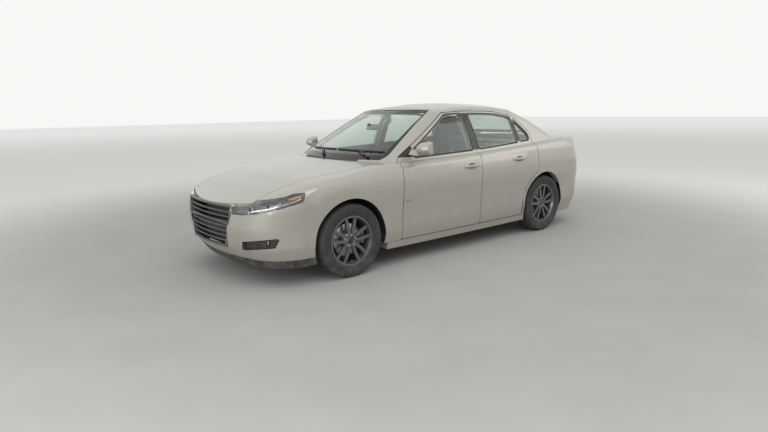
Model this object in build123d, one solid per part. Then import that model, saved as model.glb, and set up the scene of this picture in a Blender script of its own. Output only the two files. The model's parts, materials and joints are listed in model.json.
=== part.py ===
"""Compact four-door sedan as separate panels, glass, seats, running gear and wheels.

Millimetres.  X points forward, Y to the car's left, Z up; the origin is on the ground under the
middle of the car.  Every outer panel is cut from one of two smooth blocks, the lower body and the
cabin, so that neighbours stay flush, and its thickness is the difference of two insets of a block.
"""
from build123d import *
import os
from functools import lru_cache
from math import atan2, cos, hypot, pi, radians, sin, sqrt, tan

# Whole car
OVERALL_LENGTH = 4580.0
BODY_WIDTH = 1790.0
ROOF_HEIGHT = 1455.0
WHEELBASE = 2700.0
FRONT_OVERHANG = 935.0
TRACK = 1526.0
UNDERSIDE_HEIGHT = 170.0
BELT_HEIGHT = 962.0

NOSE_X = OVERALL_LENGTH / 2
TAIL_X = -OVERALL_LENGTH / 2
HALF_WIDTH = BODY_WIDTH / 2
FRONT_AXLE_X = NOSE_X - FRONT_OVERHANG
REAR_AXLE_X = FRONT_AXLE_X - WHEELBASE
WHEEL_Y = TRACK / 2

# Gaps
SHUT_GAP = 7.0
PANEL_GAP = 4.0
SEAT_GAP = 0.3
SHEET_GAP = 0.8

# Panel and wall thicknesses, as insets from the outer surface
FENDER_SKIN = 4.0
BUMPER_SKIN = 6.0
HOOD_THICKNESS = 22.0
COWL_UNDERSIDE = HOOD_THICKNESS + 40
LID_THICKNESS = 32.0
ROOF_THICKNESS = 25.0
DOOR_SKIN = 18.0
DOOR_BOX = 70.0
DOOR_TRIM = 109.0
SILL_WALL = 115.0
QUARTER_WALL = 60.0
RAIL_WALL = 62.0
FRAME_WALL = 38.0
GLASS_OUTER = 9.0
GLASS_INNER = 14.0
SCREEN_OUTER = 2.0
SCREEN_INNER = 7.5

# Lower body sections
# height, nose inset, tail inset, side inset, nose bow, tail bow, nose corner, tail corner
BODY_SECTIONS = [
    (UNDERSIDE_HEIGHT, 140, 110, 57, 2000, 2600, 330, 260),
    (330, 28, 20, 21, 1900, 2500, 420, 300),
    (480, 2, 2, 23, 1900, 2500, 430, 300),
    (640, 15, 4, 7, 1900, 2500, 420, 300),
    (780, 75, 28, 1, 1900, 2500, 420, 300),
    (930, 160, 50, 27, 1900, 2500, 420, 300),
    (1150, 290, 90, 95, 1900, 2500, 400, 280),
]
BODY_SIDE_BOW = 60000.0

# Upper surface of the lower body over hood, belt and trunk
# x, centre height, crown, shoulder start, shoulder end, shoulder drop
DECK_SECTIONS = [
    (NOSE_X + 210, 560, 10, 430, 560, 50),
    (NOSE_X - 155, 706, 14, 555, 686, 60),
    (NOSE_X - 340, 785, 20, 715, 835, 60),
    (NOSE_X - 590, 857, 26, 775, 874, 62),
    (NOSE_X - 1340, 955, 32, 790, 873, 62),
    (0, 985, 34, 790, 878, 70),
    (TAIL_X + 1090, 1040, 34, 775, 860, 80),
    (TAIL_X + 490, 1072, 26, 735, 835, 85),
    (TAIL_X + 140, 1070, 20, 660, 800, 85),
    (TAIL_X - 210, 1050, 16, 540, 680, 85),
]

# Cabin sections
# height, windshield x, rear window x, side inset, front bow, rear bow, front corner, rear corner
WINDSHIELD_FOOT_X = 1000.0
REAR_WINDOW_FOOT_X = -2010.0
CABIN_SECTIONS = [
    (860, WINDSHIELD_FOOT_X + 168, REAR_WINDOW_FOOT_X - 150, 45, 1550, 1700, 160, 220),
    (960, WINDSHIELD_FOOT_X, REAR_WINDOW_FOOT_X, 81, 1550, 1700, 160, 220),
    (1100, WINDSHIELD_FOOT_X - 248, REAR_WINDOW_FOOT_X + 245, 139, 1500, 1650, 150, 210),
    (1250, WINDSHIELD_FOOT_X - 520, REAR_WINDOW_FOOT_X + 545, 213, 1450, 1600, 140, 200),
    (1390, WINDSHIELD_FOOT_X - 795, REAR_WINDOW_FOOT_X + 885, 303, 1400, 1500, 130, 190),
    (1500, WINDSHIELD_FOOT_X - 1040, REAR_WINDOW_FOOT_X + 1210, 390, 1300, 1400, 120, 170),
]
CABIN_SIDE_BOW = 20000.0
# Growth of an inset measured along X or Y on the raked faces
FRONT_RAKE_FACTOR = 2.0
REAR_RAKE_FACTOR = 2.2
SIDE_LEAN_FACTOR = 1.12

# Upper surface of the roof and of what it would be before and behind it
# x, centre height, crown, rail start, rail end, rail drop
ROOF_SECTIONS = [
    (WINDSHIELD_FOOT_X + 400, ROOF_HEIGHT - 380, 40, 640, 900, 74),
    (WINDSHIELD_FOOT_X - 500, ROOF_HEIGHT - 120, 38, 560, 740, 74),
    (WINDSHIELD_FOOT_X - 850, ROOF_HEIGHT - 43, 36, 515, 638, 74),
    (WINDSHIELD_FOOT_X - 1200, ROOF_HEIGHT - 5, 36, 500, 622, 74),
    (-450, ROOF_HEIGHT, 36, 500, 622, 74),
    (-800, ROOF_HEIGHT - 12, 36, 500, 626, 74),
    (REAR_WINDOW_FOOT_X + 860, ROOF_HEIGHT - 53, 36, 505, 646, 74),
    (REAR_WINDOW_FOOT_X + 510, ROOF_HEIGHT - 130, 36, 530, 680, 74),
    (REAR_WINDOW_FOOT_X - 300, ROOF_HEIGHT - 390, 40, 640, 900, 74),
]

BLOCK_FLOOR = 60.0
BLOCK_FLARE_DROP = 150.0

# Wheels
TYRE_RADIUS = 316.0
TYRE_WIDTH = 205.0
RIM_RADIUS = 203.0
RIM_FLANGE = 215.0
RIM_WIDTH = 176.0
SPOKE_PAIRS = 5
DISC_RADIUS = 140.0
ARCH_RADIUS = 362.0
LINER_RADIUS = 378.0
LINER_SKIN = 4.0
LINER_WALL_Y = 478.0
LINER_LOW = 256.0

# Doors
DOOR_BOTTOM = 242.0
DOOR_TOP = 1366.0
FRONT_DOOR_X = 800.0
PILLAR_X = -245.0
REAR_DOOR_ARCH_GAP = 45.0
HINGE_SETBACK = 70.0
HINGE_INBOARD = 27.0
HINGE_SWEEP = 116.0
DOOR_HINGES = [(FRONT_DOOR_X - HINGE_SETBACK, HALF_WIDTH - HINGE_INBOARD),
               (PILLAR_X - SHUT_GAP - HINGE_SETBACK, HALF_WIDTH - HINGE_INBOARD)]
DOOR_HINGE_HEIGHTS = (600.0, 830.0)
DOOR_PIN_RADIUS = 5.0
DOOR_PIN_LENGTH = 54.0
DOOR_BOSS_RADIUS = 9.0
DOOR_ARM_NEAR_Y = 783.0
DOOR_ARM_SECTION = (12.0, 16.0)
HINGE_RECESS = 26.0
PIN_PLAY = 0.05

# Hinge pins of the hood and the trunk lid: x, height
HOOD_HINGE = (915.0, 925.0)
HOOD_PIN_RADIUS = 6.0
HOOD_PIN_SPAN = (600.0, 677.0)
HOOD_ARM_SPAN = (662.0, 674.0)
LID_HINGE = (-1640.0, 1010.0)
LID_PIN_RADIUS = 8.0
LID_ARM_SPAN = (525.0, 539.0)
LID_BRACKET_SPAN = (545.0, 557.0)
LID_NECK_RADII = (188.0, 208.0)

NODES = {}


# Curves and blocks shared by every panel
def tangent_centre(first, first_distance, second, second_distance, side_x, side_y):
    """Centre at given distances from two points, on the side that (side_x, side_y) names."""
    dx, dy = second[0] - first[0], second[1] - first[1]
    span = hypot(dx, dy)
    along = (first_distance ** 2 - second_distance ** 2 + span ** 2) / (2 * span)
    across = sqrt(max(first_distance ** 2 - along ** 2, 0))
    foot_x, foot_y = first[0] + along * dx / span, first[1] + along * dy / span
    candidates = [
        (foot_x + across * dy / span, foot_y - across * dx / span),
        (foot_x - across * dy / span, foot_y + across * dx / span),
    ]
    return max(candidates, key=lambda centre: side_x * centre[0] + side_y * centre[1])


def point_on(centre, towards, radius):
    """Point of a circle in the direction of another point."""
    dx, dy = towards[0] - centre[0], towards[1] - centre[1]
    span = hypot(dx, dy)
    return (centre[0] + dx / span * radius, centre[1] + dy / span * radius)


def bent(centre, start, end, height):
    """Cubic curve that follows a circle's arc from start to end at one height."""
    first = atan2(start[1] - centre[1], start[0] - centre[0])
    last = atan2(end[1] - centre[1], end[0] - centre[0])
    turn = (last - first + 3 * pi) % (2 * pi) - pi
    pull = 4 / 3 * tan(turn / 4)
    after = (start[0] - pull * (start[1] - centre[1]), start[1] + pull * (start[0] - centre[0]))
    before = (end[0] + pull * (end[1] - centre[1]), end[1] - pull * (end[0] - centre[0]))
    return Bezier(*[(x, y, height) for x, y in (start, after, before, end)])


def plan_arcs(front, rear, half, front_bow, rear_bow, front_corner, rear_corner, side_bow):
    """Arcs of a plan section's left half, as (centre, start, end): front corner, side, rear corner."""
    side_x = (front + rear) / 2 - 60
    front_centre = (front - front_bow, 0)
    rear_centre = (rear + rear_bow, 0)
    side_centre = (side_x, half - side_bow)
    corner_a = tangent_centre(front_centre, front_bow - front_corner,
                              side_centre, side_bow - front_corner, 1, 1)
    corner_b = tangent_centre(rear_centre, rear_bow - rear_corner,
                              side_centre, side_bow - rear_corner, -1, 1)
    a_front, a_side = point_on(front_centre, corner_a, front_bow), point_on(side_centre, corner_a, side_bow)
    b_side, b_rear = point_on(side_centre, corner_b, side_bow), point_on(rear_centre, corner_b, rear_bow)
    corners = [(corner_a, a_front, a_side), (side_centre, a_side, b_side), (corner_b, b_side, b_rear)]
    return front_centre, rear_centre, corners


def plan_wire(height, *shape):
    """Closed plan section of eight arcs at one height."""
    front_centre, rear_centre, left = plan_arcs(*shape)
    right = [tuple((x, -y) for x, y in (centre, end, start)) for centre, start, end in reversed(left)]
    front_arc = (front_centre, right[-1][2], left[0][1])
    rear_arc = (rear_centre, left[-1][2], right[0][1])
    arcs = [front_arc] + left + [rear_arc] + right
    return Wire([bent(*arc, height) for arc in arcs])


def crowned_section(x, height, crown, start, end, drop, flare):
    """Cross section below a crowned top whose shoulders turn down at both sides."""
    edge = height - crown
    slope = 2 * crown / start
    reach = end - start
    top = Bezier((x, -start, edge), (x, -start / 3, edge + slope * start * 2 / 3),
                 (x, start / 3, edge + slope * start * 2 / 3), (x, start, edge))
    shoulders = []
    for side in (1, -1):
        shoulders.append([(x, side * start, edge), (x, side * (start + reach * 0.55), edge - slope * reach * 0.55),
                          (x, side * (end - reach * 0.08), edge - drop * 0.45), (x, side * end, edge - drop)])
    left = [(x, end, edge - drop), (x, end + flare, edge - drop - BLOCK_FLARE_DROP), (x, end + flare, BLOCK_FLOOR)]
    right = [(px, -py, pz) for px, py, pz in reversed(left)]
    lines = [Line(a, b) for a, b in zip(left + right, (left + right)[1:])]
    return Wire([top, Bezier(*shoulders[0])] + lines + [Bezier(*reversed(shoulders[1]))])


def crowned_block(sections, inset, side_factor, flare):
    """Solid below a crowned surface that runs along the car, pulled in by an inset."""
    wires = [crowned_section(x, height - inset, crown, start - 0.6 * inset, end - side_factor * inset, drop, flare)
             for x, height, crown, start, end, drop in sections]
    return Solid.make_loft(wires, ruled=True)


@lru_cache(maxsize=None)
def body_block(inset=0.0):
    """Lower body, pulled in by an inset all round its sides and top."""
    sections = []
    for height, nose, tail, side, nose_bow, tail_bow, nose_corner, tail_corner in BODY_SECTIONS:
        sections.append(plan_wire(
            height, NOSE_X - nose - inset, TAIL_X + tail + inset, HALF_WIDTH - side - inset,
            nose_bow - inset, tail_bow - inset, nose_corner - inset, tail_corner - inset,
            BODY_SIDE_BOW - inset))
    return Solid.make_loft(sections, ruled=True) & crowned_block(DECK_SECTIONS, inset, 1.0, 90)


@lru_cache(maxsize=None)
def cabin_block(inset=0.0):
    """Glasshouse and roof, pulled in by an inset measured square to its faces."""
    sections = []
    for height, front, rear, side, front_bow, rear_bow, front_corner, rear_corner in CABIN_SECTIONS:
        sections.append(plan_wire(
            height, front - FRONT_RAKE_FACTOR * inset, rear + REAR_RAKE_FACTOR * inset,
            HALF_WIDTH - side - SIDE_LEAN_FACTOR * inset,
            front_bow - inset, rear_bow - inset, front_corner - inset, rear_corner - inset,
            CABIN_SIDE_BOW - inset))
    return Solid.make_loft(sections, ruled=True) & crowned_block(ROOF_SECTIONS, inset, SIDE_LEAN_FACTOR, 270)


@lru_cache(maxsize=None)
def body_shell(outer, inner):
    return body_block(outer) - body_block(inner)


@lru_cache(maxsize=None)
def cabin_shell(outer, inner):
    return cabin_block(outer) - cabin_block(inner)


# Cutters
def outline_face(points, radius=0.0):
    """Flat face in the XY plane from corner points, with its corners rounded."""
    face = make_face(Polyline(*points, close=True).edges())
    if radius:
        face = fillet(face.vertices(), radius)
    return face


def side_prism(points, near=0.0, far=1100.0, radius=0.0):
    """Side view outline of (x, z) points, run across the car from near to far."""
    face = Plane.XZ * outline_face(points, radius)
    return Pos(0, near, 0) * extrude(face, far - near, dir=(0, 1, 0))


def plan_prism(points, low=0.0, high=1600.0, radius=0.0):
    """Plan outline of (x, y) points, run up from low to high."""
    return Pos(0, 0, low) * extrude(outline_face(points, radius), high - low, dir=(0, 0, 1))


def front_prism(points, rear, front, radius=0.0):
    """Front view outline of (y, z) points, run along the car from rear to front."""
    face = Plane.YZ * outline_face(points, radius)
    return Pos(rear, 0, 0) * extrude(face, front - rear, dir=(1, 0, 0))


def cross_cylinder(x, z, radius, near, far):
    """Cylinder across the car from near to far."""
    return Pos(x, (near + far) / 2, z) * Rot(90, 0, 0) * Cylinder(radius, far - near)


def box_between(low, high):
    size = [b - a for a, b in zip(low, high)]
    centre = [(a + b) / 2 for a, b in zip(low, high)]
    return Pos(*centre) * Box(*size)


def mirrored(shape):
    """The same shape on the car's other side."""
    return mirror(shape, about=Plane.XZ)


def add(name, *shapes):
    """Keep the solids of one named piece."""
    solids = []
    for shape in shapes:
        solids.extend(shape.solids())
    NODES[name] = Compound(children=[]) if not solids else (solids[0] if len(solids) == 1 else Compound(solids))
    return NODES[name]


def add_pair(stem, left_shape):
    """Keep a piece of the left side and its mirror image."""
    add(stem + "_left", left_shape)
    add(stem + "_right", mirrored(left_shape))


# Seams between panels
HOOD_REAR_X = 1075.0
HOOD_REAR_CORNER = (925.0, 690.0)
HOOD_FRONT_X = NOSE_X - 55
HOOD_FRONT_CORNER = (NOSE_X - 175, 585.0)
LID_FRONT_X = TAIL_X + 440
LID_FRONT_CORNER = (TAIL_X + 495, 650.0)
LID_REAR_HALF = 600.0
LID_LOWER_EDGE = 748.0
LID_SKIN = 8.0
LID_STEP = 24.0
GRILLE_TOP = (672.0, 430.0)
GRILLE_BOTTOM = (320.0, 335.0)
LIP_TOP = 236.0
ROOF_EDGE_Y = 500.0
ROOF_FRONT_X = 222.0
ROOF_REAR_X = -1128.0
WINDSHIELD_SPAN = (948.0, 1386.0)
REAR_WINDOW_SPAN = (1078.0, 1386.0)


def seam_plan(front_or_rear_arcs, low, high):
    """Plan prism bounded by a rear arc, a front arc and straight sides, mirrored about the middle."""
    (rear_x, rear_corner), (front_x, front_corner) = front_or_rear_arcs
    edges = [
        ThreePointArc((rear_corner[0], -rear_corner[1]), (rear_x, 0), rear_corner),
        Line(rear_corner, front_corner),
        ThreePointArc(front_corner, (front_x, 0), (front_corner[0], -front_corner[1])),
        Line((front_corner[0], -front_corner[1]), (rear_corner[0], -rear_corner[1])),
    ]
    return Pos(0, 0, low) * extrude(make_face(edges), high - low, dir=(0, 0, 1))


def hood_prism(gap=0.0):
    rear = (HOOD_REAR_X - gap, (HOOD_REAR_CORNER[0] - gap, HOOD_REAR_CORNER[1] + gap))
    front = (HOOD_FRONT_X + gap, (HOOD_FRONT_CORNER[0] + gap, HOOD_FRONT_CORNER[1] + gap))
    return seam_plan((rear, front), 600, 1100)


def lid_prism(gap=0.0):
    edges = [
        ThreePointArc((LID_FRONT_CORNER[0] + gap, LID_FRONT_CORNER[1] + gap), (LID_FRONT_X + gap, 0),
                      (LID_FRONT_CORNER[0] + gap, -LID_FRONT_CORNER[1] - gap)),
        Polyline((LID_FRONT_CORNER[0] + gap, -LID_FRONT_CORNER[1] - gap), (TAIL_X - 60, -LID_REAR_HALF - gap),
                 (TAIL_X - 60, LID_REAR_HALF + gap), (LID_FRONT_CORNER[0] + gap, LID_FRONT_CORNER[1] + gap)),
    ]
    face = make_face(edges)
    return Pos(0, 0, LID_LOWER_EDGE - gap) * extrude(face, 500, dir=(0, 0, 1))


def arch_cutters(radius):
    """Cylinders that open the front and rear wheel arches of the left side."""
    return [cross_cylinder(x, TYRE_RADIUS, radius, 300, 1200) for x in (FRONT_AXLE_X, REAR_AXLE_X)]


def door_faces():
    """Side view outlines of the front and rear door."""
    front = outline_face([
        (FRONT_DOOR_X, DOOR_BOTTOM), (FRONT_DOOR_X - 8, BELT_HEIGHT - 40), (745, BELT_HEIGHT + 10),
        (60, DOOR_TOP - 14), (PILLAR_X, DOOR_TOP), (PILLAR_X, DOOR_BOTTOM)], 10)
    rear_start = PILLAR_X - SHUT_GAP
    rear = outline_face([
        (rear_start, DOOR_BOTTOM), (rear_start, DOOR_TOP), (-700, DOOR_TOP - 14), (-990, DOOR_TOP - 62),
        (-1185, 1130), (-1200, 960), (-1200, DOOR_BOTTOM)], 10)
    arch = Pos(REAR_AXLE_X, TYRE_RADIUS) * Circle(ARCH_RADIUS + REAR_DOOR_ARCH_GAP)
    return front, (rear - arch).face()


def face_prism(face, near=300.0, far=1200.0):
    """Run a side view face across the car."""
    return Pos(0, near, 0) * extrude(Plane.XZ * face, far - near, dir=(0, 1, 0))


FRONT_WINDOW = [(575, 966), (575, 1018), (28, 1330), (-200, 1336), (-200, 990)]
REAR_WINDOW = [(-297, 994), (-297, 1334), (-690, 1322), (-940, 1285), (-940, 1030)]
QUARTER_WINDOW = [(-978, 1036), (-978, 1262), (-1140, 1110), (-1150, 1045)]
WINDOW_CORNER = 14.0
FRONT_TRIM = [(738, 306), (735, 885), (-105, 885), (-105, 306)]
REAR_TRIM = [(-348, 306), (-348, 885), (-1130, 885), (-1130, 760), (-1010, 690), (-900, 560), (-870, 306)]
STEP = 13.0
FRAME_SKIN = 8.0
FRAME_OVERLAP = 8.0
PAD_NEAR_Y = 750.0
PILLAR_NEAR_Y = 748.0


def hinge_arm(x, y, height):
    """Body half of a door hinge: a cranked arm with its boss and pin, for the left side."""
    wide, tall = DOOR_ARM_SECTION
    reach = HINGE_SETBACK + SHUT_GAP + 16
    plan = [(x - wide / 2, DOOR_ARM_NEAR_Y), (x - wide / 2, y), (x + wide / 2, y),
            (x + wide / 2, DOOR_ARM_NEAR_Y + wide), (x + reach, DOOR_ARM_NEAR_Y + wide), (x + reach, DOOR_ARM_NEAR_Y)]
    arm = plan_prism(plan, height - tall / 2, height + tall / 2)
    boss = Pos(x, y, height) * Cylinder(DOOR_BOSS_RADIUS, HINGE_RECESS - 2 * SEAT_GAP)
    return arm + boss + Pos(x, y, height) * Cylinder(DOOR_PIN_RADIUS, DOOR_PIN_LENGTH)


def hinge_recess(x, y, height):
    """What a door leaves open round one hinge: the arm's recess and the bore of the pin."""
    recess = box_between((x - 14, DOOR_ARM_NEAR_Y - 43, height - HINGE_RECESS / 2),
                         (x + HINGE_SETBACK + 20, y + DOOR_BOSS_RADIUS + 1, height + HINGE_RECESS / 2))
    return recess + Pos(x, y, height) * Cylinder(DOOR_PIN_RADIUS + PIN_PLAY, DOOR_PIN_LENGTH + 2 * SEAT_GAP)


def lid_neck():
    """Curved arm that carries the trunk lid round the edge of its opening, for the left side."""
    (x, z), (near, far), (inner, outer) = LID_HINGE, LID_ARM_SPAN, LID_NECK_RADII
    neck = cross_cylinder(x, z, outer, near, far) - cross_cylinder(x, z, inner, near - 5, far + 5)
    neck = neck & side_prism([(x, z), (x - 300, z + 42), (x - 300, z - 300), (x + 80, z - 300)], near - 5, far + 5)
    leg_x, leg_z = x + 51, z - 191
    leg = side_prism([(x - 9, z), (x + 9, z + 2), (leg_x + 9, leg_z), (leg_x - 9, leg_z - 4)], near, far)
    foot = box_between((x - 240, near, z + 12), (x - 190, far, z + 30))
    boss = cross_cylinder(x, z, LID_PIN_RADIUS + 8, near, far)
    return (neck + leg + foot + boss) - cross_cylinder(x, z, LID_PIN_RADIUS + PIN_PLAY, near - 5, far + 5)


def hood_arm():
    """Arm that joins the hood's rear corner to its hinge pin, for the left side."""
    (x, z), (near, far) = HOOD_HINGE, HOOD_ARM_SPAN
    arm = side_prism([(x, z - 9), (x, z + 8), (x + 10, z + 6), (x + 85, z - 13), (x + 85, z - 33), (x + 28, z - 18)],
                     near, far)
    arm = arm + cross_cylinder(x, z, HOOD_PIN_RADIUS + 3, near, far)
    return arm - cross_cylinder(x, z, HOOD_PIN_RADIUS + PIN_PLAY, near - 5, far + 5)


def door_panel(face, windows, trim, hinge):
    """Door with outer skin, box, inner trim and window frame, for the left side."""
    inner = offset(face, -STEP, kind=Kind.INTERSECTION)
    below_belt = face_prism(face, PAD_NEAR_Y) & body_shell(0.0, DOOR_SKIN)
    inner_box = face_prism(inner, PAD_NEAR_Y) & body_shell(DOOR_SKIN, DOOR_BOX)
    lower = (below_belt + inner_box) - cabin_block(FRAME_WALL - FRAME_OVERLAP)
    pad = side_prism(trim, PAD_NEAR_Y, 1100, 20) & body_shell(DOOR_BOX, DOOR_TRIM)
    above = box_between((-1500, 300, 880), (1200, 1000, 1500))
    frame = (face_prism(face) & above & cabin_shell(0.0, FRAME_SKIN)) \
        + (face_prism(inner) & above & cabin_shell(FRAME_SKIN, FRAME_WALL))
    for window in windows:
        frame = frame - side_prism(window, 300, 1100, WINDOW_CORNER)
    door = lower + pad + frame
    for height in DOOR_HINGE_HEIGHTS:
        door = door - hinge_recess(*hinge, height)
    return door


def window_panes(windows):
    """Glass that fills the window openings of one door."""
    layer = cabin_shell(GLASS_OUTER, GLASS_INNER)
    panes = []
    for window in windows:
        face = fillet(outline_face(window).vertices(), WINDOW_CORNER)
        face = offset(face, -SEAT_GAP, kind=Kind.INTERSECTION)
        panes.append(face_prism(face) & layer)
    return panes


def build_doors():
    front, rear = door_faces()
    for name, face, windows, trim, hinge in (
            ("front_door", front, [FRONT_WINDOW], FRONT_TRIM, DOOR_HINGES[0]),
            ("rear_door", rear, [REAR_WINDOW, QUARTER_WINDOW], REAR_TRIM, DOOR_HINGES[1])):
        add_pair(name, door_panel(face, windows, trim, hinge))
        add_pair(name + "_window", Compound(window_panes(windows)))


# Lamps and openings of the front and rear
HEAD_LAMP = [(NOSE_X + 60, 592), (NOSE_X - 90, 606), (NOSE_X - 470, 702), (NOSE_X - 500, 772),
             (NOSE_X - 420, 768), (NOSE_X - 110, 690), (NOSE_X + 60, 668)]
HEAD_LAMP_INNER_Y = 442.0
TAIL_LAMP = [(TAIL_X - 60, 770), (TAIL_X - 60, 940), (TAIL_X + 250, 958), (TAIL_X + 150, 800)]
TAIL_LAMP_INNER_Y = 560.0
LAMP_DEPTH = 60.0
LAMP_GAP = 0.5
LENS_THICKNESS = 4.0
FOG_DEPTH = 34.0
FOG_SLOT = [(505, 318), (765, 352), (792, 430), (530, 392)]
FRONT_BUMPER_SEAM = [(1600, 100), (NOSE_X + 110, 100), (NOSE_X + 110, 800), (NOSE_X - 98, 800),
                     (NOSE_X - 98, 640), (NOSE_X - 478, 704), (1648, 585)]
LIP_PROUD = 4.0
GRILLE_DEPTH = 40.0
GRILLE_FRAME = 16.0
GRILLE_SLATS = 7
SLAT_HEIGHT = 9.0
NOSE_BOW = 1900.0
REAR_BUMPER_SEAM = [(-1620, 100), (TAIL_X - 110, 100), (TAIL_X - 110, 742), (TAIL_X + 180, 742),
                    (TAIL_X + 330, 650), (-1640, 610)]


def lamp_prism(outline, inner_y, gap=0.0):
    face = outline_face(outline)
    if gap:
        face = offset(face, gap, kind=Kind.INTERSECTION)
    return face_prism(fillet(face.vertices(), 6), inner_y - gap, 1000)


def edge_at(height, front=True):
    """Plan point (x, y) where the cabin's front or rear bow meets its corner arc."""
    rows = CABIN_SECTIONS
    low, high = next((a, b) for a, b in zip(rows, rows[1:]) if a[0] <= height <= b[0])
    share = (height - low[0]) / (high[0] - low[0])
    _, nose, tail, side, *shape = [a + (b - a) * share for a, b in zip(low, high)]
    corners = plan_arcs(nose, tail, HALF_WIDTH - side, *shape, CABIN_SIDE_BOW)[2]
    return corners[0][1] if front else corners[-1][2]


def screen_outline(span, front, grow=0.0):
    """Front view outline of the windshield or rear window."""
    low, high = span
    low_y, high_y = edge_at(low, front)[1], edge_at(high, front)[1]
    return [(-low_y - grow, low - grow), (low_y + grow, low - grow),
            (high_y + grow, high + grow), (-high_y - grow, high + grow)]


SCREEN_CORNER = 40.0
FOOT_Y = 440.0


def screen_prism(span, front, grow=0.0):
    near, far = (60, 1300) if front else (-2200, -950)
    return front_prism(screen_outline(span, front, grow), near, far, SCREEN_CORNER)


def roof_prism(gap=0.0):
    """Plan region of the roof panel, which narrows a little to the rear."""
    return plan_prism([
        (ROOF_FRONT_X + 40, -ROOF_EDGE_Y - gap), (ROOF_FRONT_X + 40, ROOF_EDGE_Y + gap),
        (ROOF_REAR_X - 40, ROOF_EDGE_Y - 30 + gap), (ROOF_REAR_X - 40, -ROOF_EDGE_Y + 30 - gap)], 1250, 1600)


def build_body_sides():
    """Sill, pillars, roof rail and quarter panel as one pressing on each side."""
    front, rear = door_faces()
    aperture = face_prism(offset(front, SHUT_GAP, kind=Kind.INTERSECTION), 250) \
        + face_prism(offset(rear, SHUT_GAP, kind=Kind.INTERSECTION), 250)
    left_half = box_between((-2400, 250, 100), (2400, 1000, 1600))
    sill = (side_prism([(-975, 160), (960, 160), (960, 235), (-945, 235)], 600, 1000)
            & body_shell(0.0, SILL_WALL))
    sill_flange = (side_prism([(-930, 225), (930, 225), (930, 292), (-900, 292)], 600, 1000)
                   & body_shell(DOOR_BOX + 8, SILL_WALL))
    for x, y in DOOR_HINGES:
        sill_flange = sill_flange - Pos(x, y, 260) * Cylinder(HINGE_SWEEP, 200)
    hinge_pillar = (side_prism([(FRONT_DOOR_X + SHUT_GAP + 4, 200), (945, 200), (945, 905),
                                (FRONT_DOOR_X + SHUT_GAP + 4, 905)], PILLAR_NEAR_Y, 1000)
                    & body_shell(DOOR_SKIN + 2, SILL_WALL))
    middle_pillar = (side_prism([(PILLAR_X + 2, 250), (PILLAR_X + 125, 250), (PILLAR_X + 95, 930),
                                 (PILLAR_X + 2, 930)], PILLAR_NEAR_Y, 1000)
                     & body_shell(DOOR_BOX + 8, SILL_WALL))
    middle_pillar = middle_pillar + box_between((PILLAR_X + 4, PILLAR_NEAR_Y, 800), (PILLAR_X + 42, 779, 925))
    upper_pillar = (side_prism([(PILLAR_X - 45, 890), (PILLAR_X + 45, 890), (PILLAR_X + 30, 1400),
                                (PILLAR_X - 40, 1400)], 560, 1000)
                    & cabin_shell(FRAME_WALL + 14, FRAME_WALL + 44))
    lower = body_shell(0.0, QUARTER_WALL) & left_half & side_prism(
        [(-960, 100), (TAIL_X - 50, 100), (TAIL_X - 50, 1200), (-1150, 1200), (-1150, 900), (-960, 700)], 600, 1000)
    lower = lower - cabin_block(RAIL_WALL - 8) - aperture
    for cutter in (side_prism(REAR_BUMPER_SEAM, 0, 1100), lid_prism(PANEL_GAP + 1),
                   lamp_prism(TAIL_LAMP, TAIL_LAMP_INNER_Y, LAMP_GAP), *arch_cutters(ARCH_RADIUS)):
        lower = lower - cutter
    rail = cabin_shell(0.0, RAIL_WALL) & box_between((-2200, FOOT_Y, 890), (1200, 1000, 1500))
    rail = rail - aperture - roof_prism(1) - screen_prism(WINDSHIELD_SPAN, True, 1) \
        - screen_prism(REAR_WINDOW_SPAN, False, 1) - lid_prism(PANEL_GAP + 1)
    side = sill + sill_flange + hinge_pillar + middle_pillar + lower + rail + upper_pillar
    for hinge in DOOR_HINGES:
        for height in DOOR_HINGE_HEIGHTS:
            side = side + hinge_arm(*hinge, height)
    x, z = HOOD_HINGE
    side = side - box_between((x - 16, HOOD_ARM_SPAN[0] - 5, z - 25), (x + 95, HOOD_ARM_SPAN[1] + 5, z + 40))
    side = side + cross_cylinder(*HOOD_HINGE, HOOD_PIN_RADIUS, *HOOD_PIN_SPAN)
    x, z = LID_HINGE
    bracket = side_prism([(x - 60, z + 20), (x + 40, z + 68), (x + 18, z - 14), (x - 18, z - 14)], *LID_BRACKET_SPAN)
    side = side + bracket + cross_cylinder(x, z, LID_PIN_RADIUS, LID_ARM_SPAN[0] - 3, LID_BRACKET_SPAN[1])
    add_pair("body_side", side)


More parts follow.
